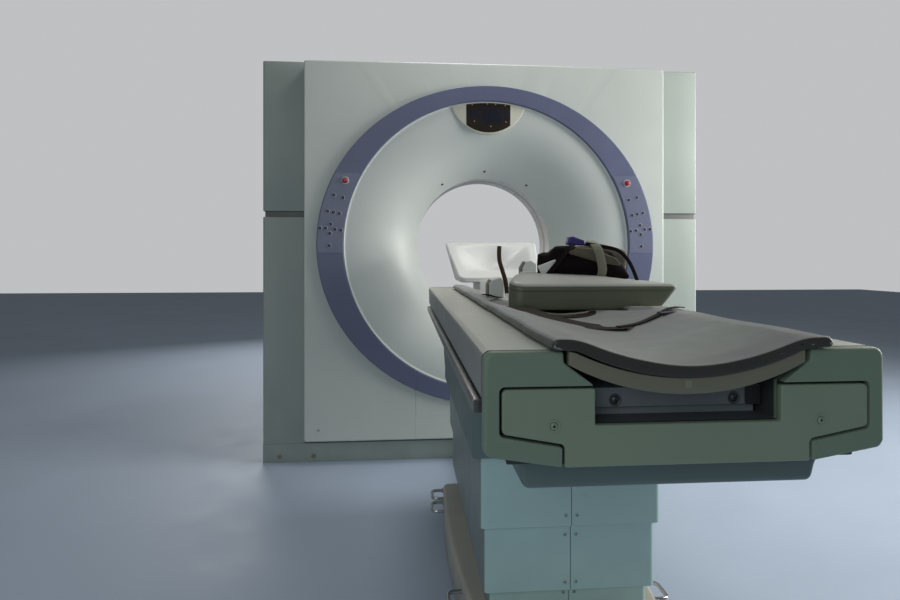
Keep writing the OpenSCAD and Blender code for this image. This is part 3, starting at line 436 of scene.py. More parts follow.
paints = {
    "coverWhite": dict(colour=(0.60, 0.64, 0.60), rough=0.42, blotch=0.03, scuff=0.12),
    "sideGrey": dict(colour=(0.40, 0.45, 0.41), rough=0.46, blotch=0.04, scuff=0.15, low=(0.05, 0.5, 0.25)),
    # Painted shade: dark grey for the faces inside the side covers' groove.
    "grooveGrey": dict(colour=(0.16, 0.17, 0.16), rough=0.5, blotch=0.05),
    "funnelWhite": dict(colour=(0.64, 0.68, 0.65), rough=0.36, blotch=0.025),
    "linerWhite": dict(colour=(0.74, 0.72, 0.70), rough=0.3, blotch=0.02),
    "scanWindow": dict(colour=(0.66, 0.60, 0.56), rough=0.22, blotch=0.02, coat=0.4),
    "bandBlue": dict(colour=(0.128, 0.145, 0.238), rough=0.4, blotch=0.05),
    "keypadBlue": dict(colour=(0.168, 0.182, 0.273), rough=0.36, blotch=0.03),
    "keyDark": dict(colour=(0.035, 0.035, 0.06), rough=0.28, blotch=0.05, grain=2000.0, bump=0.02),
    "keyRim": dict(colour=(0.5, 0.52, 0.58), rough=0.35, blotch=0.04),
    "stopRed": dict(colour=(0.36, 0.015, 0.03), rough=0.25, blotch=0.06, coat=0.3),
    "bezelBeige": dict(colour=(0.62, 0.62, 0.52), rough=0.4, blotch=0.03),
    "displayGlass": dict(colour=(0.020, 0.014, 0.009), rough=0.12, blotch=0.25, blotchScale=6.0, bump=0.0,
                         coat=0.6),
    "displayPanel": dict(colour=(0.012, 0.014, 0.022), rough=0.25, blotch=0.2, bump=0.0),
    "lightGlass": dict(colour=(0.10, 0.03, 0.03), rough=0.1, blotch=0.1, bump=0.0, coat=0.5),
    "housingCream": dict(colour=(0.701, 0.701, 0.627), rough=0.4, blotch=0.03, scuff=0.2),
    # Painted shade: dark grey for the housing's cream where it lies in shade, on its sides, underside and
    # near-facing faces.
    "housingSide": dict(colour=(0.30, 0.31, 0.30), rough=0.45, blotch=0.04, scuff=0.25),
    # Painted shade: near black for the inner faces of the trough that the tabletop runs in.
    "darkTrough": dict(colour=(0.05, 0.055, 0.055), rough=0.5, blotch=0.1),
    # Painted shade: green-grey for the table's near end frame, the housing's light colour as it looks in
    # shade.
    "endGreen": dict(colour=(0.209, 0.283, 0.216), rough=0.44, blotch=0.04, scuff=0.2),
    # Painted shade: near black for the backing plate behind the end frame, standing for the shadowed inside
    # of the housing's end.
    "endBack": dict(colour=(0.010, 0.013, 0.011), rough=0.6, blotch=0.1),
    # Painted shade: the end plate is a darker copy of the stage covers' grey-green, for the shade on the
    # table's near end.
    "endPlate": dict(colour=(0.262, 0.335, 0.25), rough=0.42, blotch=0.04, scuff=0.22),
    # Painted shade: dark blue-grey for the belly, skirt and slope under the housing, standing for the shadow
    # there.
    "underBlue": dict(colour=(0.144, 0.203, 0.203), rough=0.48, blotch=0.05, scuff=0.15),
    # Painted light: the stage covers are a lighter copy of the end plate's grey-green, for light from the
    # floor.
    "stageTeal": dict(colour=(0.495, 0.697, 0.672), rough=0.4, blotch=0.04, scuff=0.18, low=(0.1, 0.45, 0.2)),
    # Painted shade: a darker grey-green for the sides of the stage covers.
    "stageSide": dict(colour=(0.25, 0.3, 0.3), rough=0.45, blotch=0.04, scuff=0.18, low=(0.1, 0.45, 0.2)),
    "baseBeige": dict(colour=(0.55, 0.53, 0.46), rough=0.5, blotch=0.06, scuff=0.35, low=(0.0, 0.16, 0.5)),
    "beamGrey": dict(colour=(0.22, 0.25, 0.27), rough=0.38, blotch=0.05, scuff=0.2),
    "capOlive": dict(colour=(0.21, 0.21, 0.15), rough=0.45, blotch=0.06, scuff=0.2),
    "markerPale": dict(colour=(0.24, 0.27, 0.20), rough=0.4, blotch=0.06),
    "boardSeam": dict(colour=(0.07, 0.09, 0.06), rough=0.45, blotch=0.08),
    "buckleBlue": dict(colour=(0.055, 0.040, 0.22), rough=0.35, blotch=0.1),
    "darkGap": dict(colour=(0.012, 0.013, 0.014), rough=0.8, blotch=0.1),
    "carbon": dict(colour=(0.045, 0.048, 0.05), rough=0.35, blotch=0.12, blotchScale=40.0, coat=0.3),
    "framePaint": dict(colour=(0.09, 0.10, 0.11), rough=0.5, blotch=0.08, scuff=0.3),
    "tiltPaint": dict(colour=(0.20, 0.24, 0.30), rough=0.45, blotch=0.07, scuff=0.3),
    "motorBlack": dict(colour=(0.03, 0.032, 0.036), rough=0.4, blotch=0.1, scuff=0.2),
    "tubePaint": dict(colour=(0.42, 0.42, 0.40), rough=0.4, blotch=0.06, scuff=0.2),
    "detectorPaint": dict(colour=(0.10, 0.11, 0.13), rough=0.4, blotch=0.06),
    "rubber": dict(colour=(0.018, 0.018, 0.018), rough=0.7, blotch=0.2, bump=0.15),
    "floorPale": dict(colour=(0.48, 0.57, 0.71), rough=0.55, blotch=0.04, blotchScale=1.2, grain=300.0,
                      bump=0.02)}
metals = {
    "steel": dict(colour=(0.46, 0.47, 0.48), rough=0.32),
    "darkMetal": dict(colour=(0.16, 0.165, 0.17), rough=0.4),
    "railSteel": dict(colour=(0.34, 0.34, 0.33), rough=0.34, along=(60.0, 3.0, 60.0)),
    "drumMetal": dict(colour=(0.55, 0.56, 0.57), rough=0.35, along=(8.0, 60.0, 8.0)),
    "copper": dict(colour=(0.50, 0.27, 0.13), rough=0.3, along=(8.0, 60.0, 8.0)),
    "chrome": dict(colour=(0.62, 0.62, 0.62), rough=0.16, along=(30.0, 30.0, 4.0), bump=0.02)}
vinyls = {
    "mattressTop": dict(colour=(0.259, 0.299, 0.284), rough=0.4, second=(0.29, 0.285, 0.28)),
    # Painted shade: near-black olive for the mattress's near end, underside and outer sides.
    "mattressEdge": dict(colour=(0.044, 0.044, 0.0374), rough=0.38, bump=0.2),
    "headWhite": dict(colour=(0.779, 0.8, 0.779), rough=0.34, bump=0.12, crease=0.12, blotch=0.02),
    "boardGrey": dict(colour=(0.44, 0.445, 0.414), rough=0.4, bump=0.15, crease=0.1),
    "boardEdge": dict(colour=(0.125, 0.140, 0.095), rough=0.42, bump=0.15, crease=0.1)}
wovens = {
    "bagBlack": dict(colour=(0.010, 0.005, 0.006), sheen=0.03),
    "padOlive": dict(colour=(0.162, 0.15, 0.102), rough=0.85, threads=700.0),
    "paleOlive": dict(colour=(0.345, 0.338, 0.255), rough=0.8, sheen=0.2),
    "webbing": dict(colour=(0.020, 0.007, 0.006), rough=0.6, threads=1100.0, sheen=0.02),
    "strapBrown": dict(colour=(0.0525, 0.0196, 0.0098), rough=0.6, threads=1000.0),
    "flapBrown": dict(colour=(0.022, 0.014, 0.008), rough=0.6, threads=800.0, sheen=0.02)}
lamps = {"displayLamps": dict(first=(0.75, 0.55, 0.42), second=(0.60, 0.16, 0.10), strength=0.35)}

materials = {}
makers = ((paintOf, paints), (metalOf, metals), (vinylOf, vinyls), (wovenOf, wovens), (lampOf, lamps))
for make, table in makers:
    materials.update({name: make(name, **values) for name, values in table.items()})
print("materials ready")

gantry = {"half": 0.900, "top": 1.968, "bottom": 0.119, "crown": 0.005, "corner": 0.012, "front": -0.280,
          "seam": -0.1003, "rear": 0.530, "slopeFrom": 0.240, "slopeUp": 0.145, "wall": 0.004, "edge": 0.006,
          "lower": 0.360, "gap": 0.0006, "hole": 0.7345, "rearHole": 0.646, "margin": 0.03, "floorPoints": 24}


# Rounded rectangle with a crowned top, run from the lower right corner over the top: x, z pairs.
def coverLoop(e, bottom):
    g = gantry
    half, top, low, count = g["half"] - e, g["top"] - e, bottom + e, g["floorPoints"]
    x = np.linspace(half, -half, count)
    crown = np.column_stack([x, top + g["crown"] * (1 - (x / half) ** 2)])
    points = np.vstack([[-half, low], [half, low], crown])
    radius = np.zeros(len(points)) + sharp
    radius[[0, 1, 2, -1]] = g["corner"]
    loop = fillet(points, radius, 5)
    side = np.linspace(low + g["margin"], top - g["margin"], 14)[:, None]
    right = np.hstack([np.full_like(side, half), side])
    left = np.hstack([np.full_like(side, -half), side[::-1]])
    floorX = np.linspace(-half + g["margin"], half - g["margin"], count)[:, None]
    return np.vstack([loop[5:10], right, loop[10:-5], loop[-5:], left, loop[:5],
                      np.hstack([floorX, np.full_like(floorX, low)])])


# Rows from the hole over the face and the rounded edge to the seam, then back inside the wall.
def coverRows(outlineAt, holeAt, face, seam, sign):
    wall, edge = gantry["wall"], gantry["edge"]
    ins, dep = edgeSteps(edge, 5)
    rows = [placed(holeAt(0), face + sign * wall), placed(holeAt(0), face + sign * 0.001),
            placed(holeAt(0.001), face), placed(holeAt(0.003), face), placed(outlineAt(edge + 0.002), face)]
    rows += [placed(outlineAt(ins[i]), face + sign * dep[i]) for i in range(5)]
    return rows + [placed(outlineAt(0), seam), placed(outlineAt(wall), seam),
                   placed(outlineAt(wall), face + sign * wall)]


# The front cover is open where the lower centre cover sits: its bottom edge maps to the hole's arc ends.
def frontPath(e):
    g = gantry
    loop = coverLoop(e, g["bottom"])
    low = np.linspace(-g["half"] + g["margin"], -g["lower"], 12)[:, None]
    left = np.hstack([low, np.full_like(low, g["bottom"] + e)])
    return np.vstack([flipX(left), loop[:len(loop) - g["floorPoints"]], left])


g = gantry
frontBase = frontPath(0)
endAngle = math.degrees(math.atan2(-math.sqrt(g["hole"] ** 2 - g["lower"] ** 2), g["lower"]))
cornerAngle = math.degrees(math.atan2(g["bottom"] - boreZ, g["half"]))
rayAngle = np.degrees(np.arctan2(frontBase[:, 1] - boreZ, frontBase[:, 0]))
rayAngle = np.where(rayAngle < -90, rayAngle + 360, rayAngle)
onFloor = frontBase[:, 1] < g["bottom"] + 1e-6
bent = np.interp(np.abs(frontBase[:, 0]), [g["lower"], g["half"]], [endAngle, cornerAngle])
frontAngle = np.radians(np.where(onFloor, np.where(frontBase[:, 0] > 0, bent, 180 - bent), rayAngle))

lowerX = np.linspace(g["lower"] - g["gap"], -g["lower"] + g["gap"], 40)
lowerAngle = np.radians(np.interp(lowerX, [-g["lower"], g["lower"]], [-180 - endAngle, endAngle]))

rearBase = coverLoop(0, g["bottom"])
rearAngle = np.arctan2(rearBase[:, 1] - boreZ, rearBase[:, 0])


def frontHole(grow):
    return ringPoints(frontAngle, gantry["hole"] + grow)


def lowerPath(e):
    return np.column_stack([lowerX, np.full(len(lowerX), gantry["bottom"] + e)])


def lowerHole(grow):
    return ringPoints(lowerAngle, gantry["hole"] + grow)


def rearPath(e):
    return coverLoop(e, gantry["bottom"] + gantry["slopeUp"])


def rearHole(grow):
    return ringPoints(rearAngle, gantry["rearHole"] + grow)


frontRows = coverRows(frontPath, frontHole, g["front"], g["seam"], 1)
frontCover = grid("frontCoverShell", frontRows, around=False, shut=True)
dress(frontCover, "gantry", "coverWhite", "front_cover")

lowerRows = coverRows(lowerPath, lowerHole, g["front"], g["seam"], 1)
lowerCover = grid("lowerCoverShell", lowerRows, around=False, shut=True)
dress(lowerCover, "gantry", "coverWhite", "lower_cover")

rearRows = coverRows(rearPath, rearHole, g["rear"], g["slopeFrom"], -1)
turnRows = [placed(coverLoop(e, g["bottom"]), y) for e, y in (
    (0, g["slopeFrom"]), (0, g["seam"] + g["gap"]), (g["wall"], g["seam"] + g["gap"]),
    (g["wall"], g["slopeFrom"]))]
rearCover = grid("rearCoverShell", rearRows[:10] + turnRows + rearRows[-1:], shut=True)
dress(rearCover, "gantry", "coverWhite", "rear_cover")

band = {"inner": 0.710, "halfX": 0.838, "halfZ": 0.785, "front": -0.297, "back": -0.2801, "edge": 0.003,
        "face": 0.005, "seam": 0.3605, "gapAngle": 0.1, "points": (200, 60)}


# Band between a circle and an oval; rows go from the circle's wall over both rounded edges to the oval's.
def bandPiece(name, innerEnds, ovalEnds, count):
    b = band
    ins, dep = edgeSteps(b["edge"], 4)
    a, t = (np.radians(np.linspace(*ends, count)) for ends in (innerEnds, ovalEnds))
    rows = [placed(ringPoints(a, b["inner"]), b["back"])]
    rows += [placed(ringPoints(a, b["inner"] + ins[i]), b["front"] + dep[i]) for i in range(3, -1, -1)]
    rows += [placed(ringPoints(a, b["inner"] + b["face"]), b["front"]),
             placed(ringPoints(t, b["halfX"] - b["face"], b["halfZ"] - b["face"]), b["front"])]
    rows += [placed(ringPoints(t, b["halfX"] - ins[i], b["halfZ"] - ins[i]), b["front"] + dep[i])
             for i in range(4)]
    return grid(name, rows + [placed(ringPoints(t, b["halfX"], b["halfZ"]), b["back"])],
                around=False, shut=True)


innerEnd = -math.degrees(math.acos(band["seam"] / band["inner"]))
ovalEnd = -math.degrees(math.acos(band["seam"] / band["halfX"]))
mainBand = bandPiece("mainBand", (innerEnd, 180 - innerEnd), (ovalEnd, 180 - ovalEnd), band["points"][0])
dress(mainBand, "gantry", "bandBlue", "control_band")
lowEnds = [(-180 - end + band["gapAngle"], end - band["gapAngle"]) for end in (innerEnd, ovalEnd)]
dress(bandPiece("lowerBand", *lowEnds, band["points"][1]), "gantry", "bandBlue", "lower_cover")

funnel = {"outer": 0.710, "inner": 0.350, "front": -0.280, "deep": 0.172, "power": 2.5, "wall": 0.0028,
          "from": 0.703, "to": 0.3512, "rings": 44, "turns": 240,
          "lip": [(0.7255, -0.2763), (0.7255, -0.2798), (0.7096, -0.2798), (0.7096, -0.2838),
                  (0.7088, -0.2850), (0.7072, -0.2852), (0.7058, -0.2842), (0.7045, -0.2812)],
          "end": [(0.3502, -0.1083), (0.3505, -0.1080), (0.354, -0.1080)]}

# Depth grows as the power of the way from the outer rim to the bore.
f = funnel
r = np.linspace(f["from"], f["to"], f["rings"])
share = (f["outer"] - r) / (f["outer"] - f["inner"])
face = np.column_stack([r, f["front"] + f["deep"] * share ** f["power"]])
back = (face + (f["wall"], f["wall"]))[::-1][1:-1]
frontFunnel = turned("recessFunnel", np.vstack([f["lip"], face, f["end"], back]), count=f["turns"])
dress(frontFunnel, "gantry", "funnelWhite", "front_funnel")

bore = {"inner": 0.350, "outer": 0.354, "front": -0.1079, "rear": 0.103, "window": 0.022, "groove": 0.0014,
        "windowR": (0.3504, 0.3535), "sealR": (0.3517, 0.3538), "edge": 0.0006, "turns": 200}


def ringPiece(name, r0, r1, y0, y1):
    e = bore["edge"]
    profile = [(r0, y0 + e), (r0 + e, y0), (r1, y0), (r1, y1), (r0 + e, y1), (r0, y1 - e)]
    return turned(name, profile, count=bore["turns"])


w, sealEnd = bore["window"], bore["window"] + bore["groove"]
liner = joined("boreLinerRings", [ringPiece("front", bore["inner"], bore["outer"], bore["front"], -sealEnd),
                                  ringPiece("rear", bore["inner"], bore["outer"], sealEnd, bore["rear"])])
dress(liner, "gantry", "linerWhite", "bore_liner")
dress(ringPiece("scanWindowRing", *bore["windowR"], -w, w), "gantry", "scanWindow", "bore_liner")
dress(ringPiece("boreSealRings", *bore["sealR"], -sealEnd, sealEnd), "gantry", "darkGap", "bore_liner")

rearFlare = {"inner": 0.350, "outer": 0.640, "reach": 0.290, "rear": 0.530, "deep": 0.427, "rings": 36,
             "wall": (0.004, 0.0016), "start": 0.1032, "lip": (0.6455, 0.5302), "turns": 200}
f = rearFlare
r = np.linspace(f["inner"], f["outer"], f["rings"])
y = f["rear"] - f["deep"] * ((f["outer"] - r) / f["reach"]) ** 2
back = np.column_stack([r + f["wall"][0], np.maximum(y - f["wall"][1], f["start"])])[::-1]
flare = turned("rearFunnelFace", np.vstack([np.column_stack([r, y]), [f["lip"]], back]), count=f["turns"])
dress(flare, "gantry", "funnelWhite", "rear_funnel")
print("gantry covers made")

# Places of the keys are in millimetres from the bore axis; the left keypad is the mirror image.
keypad = {"keys": [(768, 99.5), (819.5, 80), (792.5, 79), (748, 74), (720, 70), (772.5, 54.5)],
          "fixed": [(752.5, 239.5), (710, 226.5), (783, 162), (754.5, 156.5), (727.5, 150), (775.5, -5.5)],
          "stop": (700, 310), "low": -0.040, "high": 0.345, "thick": 0.0015, "back": -0.2965, "edge": 0.0006,
          "inner": 0.715, "halfX": 0.833, "halfZ": 0.780, "keyRadius": 0.008, "proud": 0.0045,
          "keyBack": -0.2835, "fixedBack": -0.2975, "stopRadius": 0.013, "stopProud": 0.013,
          "stopBack": -0.284, "rim": (0.0083, 0.0102, 0.0030), "collar": (0.0137, 0.0190, 0.0048),
          "rimBack": -0.298}


def keyCentre(place, side):
    return side * place[0] / 1000, boreZ + place[1] / 1000


def keyDome(name, place, side, radius, proud, base, count=30):
    t = np.linspace(0, np.pi / 2, 7)[:-1]
    front, flat = band["front"], radius * 0.35
    profile = [(radius, base)]
    profile += list(zip(flat + (radius - flat) * np.cos(t), front - proud * 0.35 - proud * 0.65 * np.sin(t)))
    profile += [(flat * 0.6, front - proud), (0.0004, front - proud * 0.97)]
    return turned(name, profile, keyCentre(place, side), count, shut=False)


def keyRim(name, place, side, inner, outer, high):
    front, base, wide = band["front"], keypad["rimBack"], outer - inner
    profile = [(inner, base), (inner, front - high * 0.8), (inner + wide * 0.3, front - high),
               (inner + wide * 0.6, front - high), (outer, base - 0.0003), (outer, base)]
    return turned(name, profile, keyCentre(place, side), 32)


k = keypad
z = np.linspace(k["low"], k["high"], 30)
plateInner = np.column_stack([np.sqrt(k["inner"] ** 2 - z ** 2), boreZ + z])
plateOuter = np.column_stack([k["halfX"] * np.sqrt(1 - (z / k["halfZ"]) ** 2), boreZ + z])
rightPlate = np.vstack([plateInner, plateOuter[::-1]])
for sideName, side in (("left", -1), ("right", 1)):
    node = sideName + "_keypad"
    outline = flipX(rightPlate) if side < 0 else rightPlate
    plate = slab(sideName + "KeypadPlate", outline, band["front"] - k["thick"], k["back"], "y", k["edge"], 3)
    dress(plate, "gantry", "keypadBlue", node)
    rims = joined(sideName + "KeyRims", [keyRim("rim", p, side, *k["rim"]) for p in k["keys"] + k["fixed"]])
    dress(rims, "gantry", "keyRim", node)
    domes = [keyDome("dome", p, side, k["keyRadius"], k["proud"], k["fixedBack"]) for p in k["fixed"]]
    dress(joined(sideName + "FixedKeys", domes), "gantry", "keyDark", node)
    dress(keyRim(sideName + "StopCollar", k["stop"], side, *k["collar"]), "gantry", "keyRim",
          node)
    for i, place in enumerate(k["keys"]):
        name = f"{sideName}_key_{i + 1}"
        dome = keyDome(f"{sideName}Key{i + 1}", place, side, k["keyRadius"], k["proud"], k["keyBack"])
        dress(dome, name, "keyDark", name)
    stop = keyDome(sideName + "StopButton", k["stop"], side, k["stopRadius"], k["stopProud"],
                   k["stopBack"], 40)
    dress(stop, sideName + "_stop", "stopRed", sideName + "_stop")

# Panels are x0, x1, z0, z1 behind the glass, and lamps are x, z.
display = {"big": 0.709, "small": 0.194, "centre": 0.744, "halfGlass": 0.117, "rim": 0.0065, "front": -0.2845,
           "back": -0.222, "panels": [(-0.036, 0.066, 1.676, 1.748), (-0.100, -0.050, 1.702, 1.742),
                                      (0.078, 0.104, 1.696, 1.742), (-0.062, 0.060, 1.756, 1.766)],
           "lamps": [(-0.080, 1.768), (-0.005, 1.773), (0.036, 1.772), (0.084, 1.766), (-0.070, 1.686),
                     (0.012, 1.662), (0.088, 1.684)], "lampRadius": 0.0022}


# The display is the lens shape where the recess circle and a smaller circle overlap.
def lensOutline(e, clip=None, count=40):
    d = display
    big, small, c = d["big"] - e, d["small"] - e, d["centre"]
    z = (big ** 2 - small ** 2 + c ** 2) / (2 * c)
    x = clip - e if clip else math.sqrt(big ** 2 - z ** 2)
    lowAngle = math.degrees(math.asin(x / small)) if clip else math.degrees(math.atan2(x, c - z))
    highAngle = math.degrees(math.asin(x / big))
    low = arc(0, boreZ + c, small, -90 - lowAngle, -90 + lowAngle, count)
    high = arc(0, boreZ, big, 90 - highAngle, 90 + highAngle, count // 2)
    return np.vstack([low, high if clip else high[1:-1]])


def lensSlab(name, shrink, lo, hi, edge, clip=None):
    ins, dep = edgeSteps(edge, 4)
    rows = [placed(lensOutline(shrink + ins[i], clip), lo + dep[i]) for i in range(4)]
    return grid(name, rows + [placed(lensOutline(shrink, clip), hi)])


d = display
dress(lensSlab("displayHousing", 0.0, d["front"], d["back"], 0.003), "gantry", "bezelBeige", "display_bezel")
pane = lensSlab("displayGlassPane", d["rim"], d["front"] - 0.0006, d["front"] + 0.002, 0.0008, d["halfGlass"])
dress(pane, "gantry", "displayGlass", "display_glass")
panels = [slab("panel", rectangle(x0, z0, x1, z1, 0.003), d["front"] - 0.0009, d["front"] - 0.0002,
               "y", 0.0003, 3) for x0, x1, z0, z1 in d["panels"]]
dress(joined("displayWindows", panels), "gantry", "displayPanel", "display_glass")
dots = [slab("lamp", arc(x, z, d["lampRadius"], 0, 330, 12), d["front"] - 0.0012, d["front"] - 0.0003,
             "y", 0.0004, 3) for x, z in d["lamps"]]
dress(joined("displayLampDots", dots), "gantry", "displayLamps", "display_glass")
print("controls made")

# A countersunk cap screw: washer ring, domed head and dark socket, as shares of the radius and depths.
screw = {"washer": ("Washers", 28, [(0.62, 0.001), (0.62, -0.0006), (0.7, -0.0011), (0.95, -0.0011),
                                    (1, -0.0002), (1, 0.001)]),
         "head": ("Heads", 24, [(0.56, 0.001), (0.56, -0.0012), (0.45, -0.0020), (0.2, -0.0023),
                                (0.2, -0.0004), (0, -0.0003)]),
         "socket": ("Sockets", 20, [(0.62, 0.0008), (0.62, -0.0003), (0, -0.0003)]),
         "hex": ("Sockets", 8, [(0.2, -0.0003), (0.2, -0.0014), (0, -0.0014)])}


def addScrews(name, body, metal, radius, places, headMetal="steel"):
    parts = {"Washers": [], "Heads": [], "Sockets": []}
    for x, y, z in places:
        for part, (group, count, profile) in screw.items():
            points = [(max(radius * share, 0.0002), y + depth) for share, depth in profile]
            parts[group].append(turned(part, points, (x, z), count, shut=part == "washer"))
    for (group, pieces), material in zip(parts.items(), (metal, headMetal, "darkGap")):
        dress(joined(name + group, pieces), body, material)


addScrews("coverScrews", "gantry", "coverWhite", 0.0085, [(-0.828, -0.2803, 0.175), (0.828, -0.2803, 0.175)])

stand = {"in": 0.905, "out": 1.110, "front": -0.210, "rear": 0.460, "top": 1.983, "plinth": 0.092,
         "corner": 0.010, "grooveLow": 1.213, "grooveHigh": 1.243, "grooveDeep": 0.0095, "edge": 0.006,
         "sheet": 0.02, "duct": (-0.12, -0.8299, 0.12, -0.2102), "ductHigh": 0.040,
         "plugs": (-1.028, -0.863, 0.863, 1.028), "plugZ": 0.029,
         "plug": [(0.011, 0.001), (0.011, -0.0012), (0.009, -0.0022), (0.0002, -0.0025)]}


# The cover's plan outline climbs from the plinth to the top, stepping in at the groove.
def sideCover(name):
    s = stand
    plan = rectangle(s["in"], s["front"], s["out"], s["rear"], s["corner"])
    low, high, deep = s["grooveLow"], s["grooveHigh"], s["grooveDeep"]
    rows = [placed(inset(plan, e), z, "z") for z, e in (
        (s["plinth"], 0.001), (s["plinth"] + 0.001, 0), (low - 0.002, 0), (low, 0.002), (low + 0.0005, deep),
        (high - 0.004, deep), (high, 0.001), (high + 0.002, 0))]
    rows += edgeRows(plan, s["top"], s["edge"], 5, "z", far=True)
    return grid(name, rows + [placed(inset(plan, s["edge"] + 0.001), s["top"], "z")])


rightSide = sideCover("rightSideCover")
leftSide = mirrored(rightSide, "leftSideCover")
for piece, node in ((rightSide, "right_side_cover"), (leftSide, "left_side_cover")):
    dress(piece, "stand", "sideGrey", node)
    # The groove's faces get painted shade.
    paintFaces(piece, "grooveGrey",
               lambda c, n: (c[:, 2] > stand["grooveLow"]) & (c[:, 2] < stand["grooveHigh"]))

s, t = stand, stand["sheet"]
plinthOutline = [(-s["out"], s["rear"]), (-s["out"], s["front"]), (s["out"], s["front"]),
                 (s["out"], s["rear"]), (s["out"] - t, s["rear"]), (s["out"] - t, s["front"] + t),
                 (-s["out"] + t, s["front"] + t), (-s["out"] + t, s["rear"])]
plinth = slab("plinthSheet", fillet(plinthOutline, 0.003, 4), 0.0, s["plinth"] - 0.0004, "z", 0.0012, 3)
duct = slab("plinthDuct", rectangle(*s["duct"], 0.006), 0.0, s["ductHigh"], "z", 0.003)
dress(joined("floorPlinthSheet", [plinth, duct]), "stand", "sideGrey", "floor_plinth")
plugProfile = [(radius, s["front"] + depth) for radius, depth in s["plug"]]
plugs = [turned("plug", plugProfile, (x, s["plugZ"]), 28, shut=False) for x in s["plugs"]]
dress(joined("plinthPlugs", plugs), "stand", "capOlive")
print("stand made")

# The base's sides bow outwards in plan; steel loops stand out of them, low over the floor.
base = {"near": -1.775, "far": -0.830, "half": 0.273, "middle": -1.155, "bow": 8.4, "high": 0.119,
        "edge": 0.012, "corner": 0.022, "foot": 0.004, "wellLow": (-0.186, -1.655),
        "wellHigh": (0.186, -0.846), "wellFloor": 0.016, "loops": (-1.670, -1.560, -0.980, -0.870),
        "loopHalf": 0.039, "loopIn": -0.012, "loopOut": 0.044, "loopBend": 0.018, "loopZ": 0.090,
        "rod": 0.006, "flange": 0.0095, "flangeAt": (-0.001, 0.0035)}


def baseHalf(y):
    return base["half"] - (y - base["middle"]) ** 2 / base["bow"]


b = base
y = np.linspace(b["near"], b["far"], 40)
baseOutline = np.vstack([np.column_stack([baseHalf(y), y]), np.column_stack([-baseHalf(y), y])[::-1]])
radius = np.full(len(baseOutline), sharp)
radius[[0, 39, 40, 79]] = b["corner"]
baseLoop = fillet(baseOutline, radius, 6)
wellLoop = np.clip(baseLoop, b["wellLow"], b["wellHigh"])
rows = [placed(inset(baseLoop, 0.003), 0.0, "z"), placed(baseLoop, b["foot"], "z")]
rows += edgeRows(baseLoop, b["high"], b["edge"], 7, "z", far=True)
rows += [placed(inset(baseLoop, b["edge"] + 0.001), b["high"], "z")]
rows += [placed(wellLoop, z, "z") for z in (b["high"], b["wellFloor"])]
dress(grid("tableBaseShell", rows, merge=1e-5), "stand", "baseBeige", "table_base")

rods, flanges = [], []
for y0 in b["loops"]:
    half = baseHalf(y0)
    for side in (-1, 1):
        path = rectangle(half + b["loopIn"], y0 - b["loopHalf"], half + b["loopOut"], y0 + b["loopHalf"],
                         [sharp, b["loopBend"], b["loopBend"], sharp], 9)
        path = np.vstack([path[:1], path[9:27], path[-1:]])
        rods.append(tube("loop", placed(path * (side, 1), b["loopZ"], "z"), b["rod"], 18))
        for end in (-1, 1):
            foot = [(side * (half + x), y0 + end * b["loopHalf"], b["loopZ"]) for x in b["flangeAt"]]
            flanges.append(tube("flange", foot, b["flange"], 22))
dress(joined("baseLoopRods", rods), "stand", "chrome", "base_loops")
dress(joined("baseLoopFlanges", flanges), "stand", "steel")
print("table base made")

# Each telescoping cover: body, half width, near, far, low, high, node and the heights of its screws.
stages = {"upper": ("upper_cover", 0.230, -1.698, -0.770, 0.343, 0.578, "upper_stage", [0.370]),
          "middle": ("middle_cover", 0.2195, -1.6875, -0.7805, 0.178, 0.418, "middle_stage", [0.318, 0.199]),
          "lower": ("stand", 0.2045, -1.6725, -0.7955, 0.119, 0.359, "lower_stage", [0.165])}
stageSheet = {"gap": 0.0008, "wall": 0.004, "edge": 0.0015, "corner": 0.014, "seamHalf": 0.006,
              "screwX": 0.014, "screwRadius": 0.0062}


# Half a cover is a C-shaped path in plan, carried up the outside and down the inside.
def stageHalf(name, half, near, far, low, high, side):
    s = stageSheet

    def path(e):
        bend = s["corner"] - e
        loop = rectangle(s["gap"], near + e, half - e, far - e, [sharp, bend, bend, sharp], 8)
        return np.vstack([loop[:1], loop[8:24], loop[-1:]]) * (side, 1)
    wall, edge = s["wall"], s["edge"]
    steps = [(wall, low + 0.0005), (edge, low), (0.0, low + edge), (0.0, high - edge), (edge, high),
             (wall, high - 0.0005)]
    rows = [placed(path(e), z, "z") for e, z in steps]
    return grid(name, rows, around=False, shut=True)


for stageName, (body, half, near, far, low, high, node, heights) in stages.items():
    for sideName, side in (("Left", -1), ("Right", 1)):
        piece = stageHalf(stageName + "Cover" + sideName, half, near, far, low, high, side)
        # The stage covers' fronts and tops carry painted light.
        dress(piece, body, "stageTeal", node)
        # The side faces of each stage cover get painted shade.
        paintFaces(piece, "stageSide", lambda c, n: np.abs(n[:, 0]) > 0.8)
    x = stageSheet["seamHalf"]
    strips = [slab("strip", corners(-x, y0, x, y1), low + 0.002, high - 0.002, "z", 0.0003, 2)
              for y0, y1 in ((near + 0.0032, near + 0.0044), (far - 0.0044, far - 0.0032))]
    dress(joined(stageName + "SeamStrips", strips), body, "darkGap")
for stageName, (body, half, near, far, low, high, node, heights) in stages.items():
    places = [(x, near, z) for z in heights for x in (-stageSheet["screwX"], stageSheet["screwX"])]
    # The washers take the stage covers' colour with its painted light.
    addScrews("seamScrews" + stageName.capitalize(), body, "stageTeal", stageSheet["screwRadius"], places)
print("pedestal made")

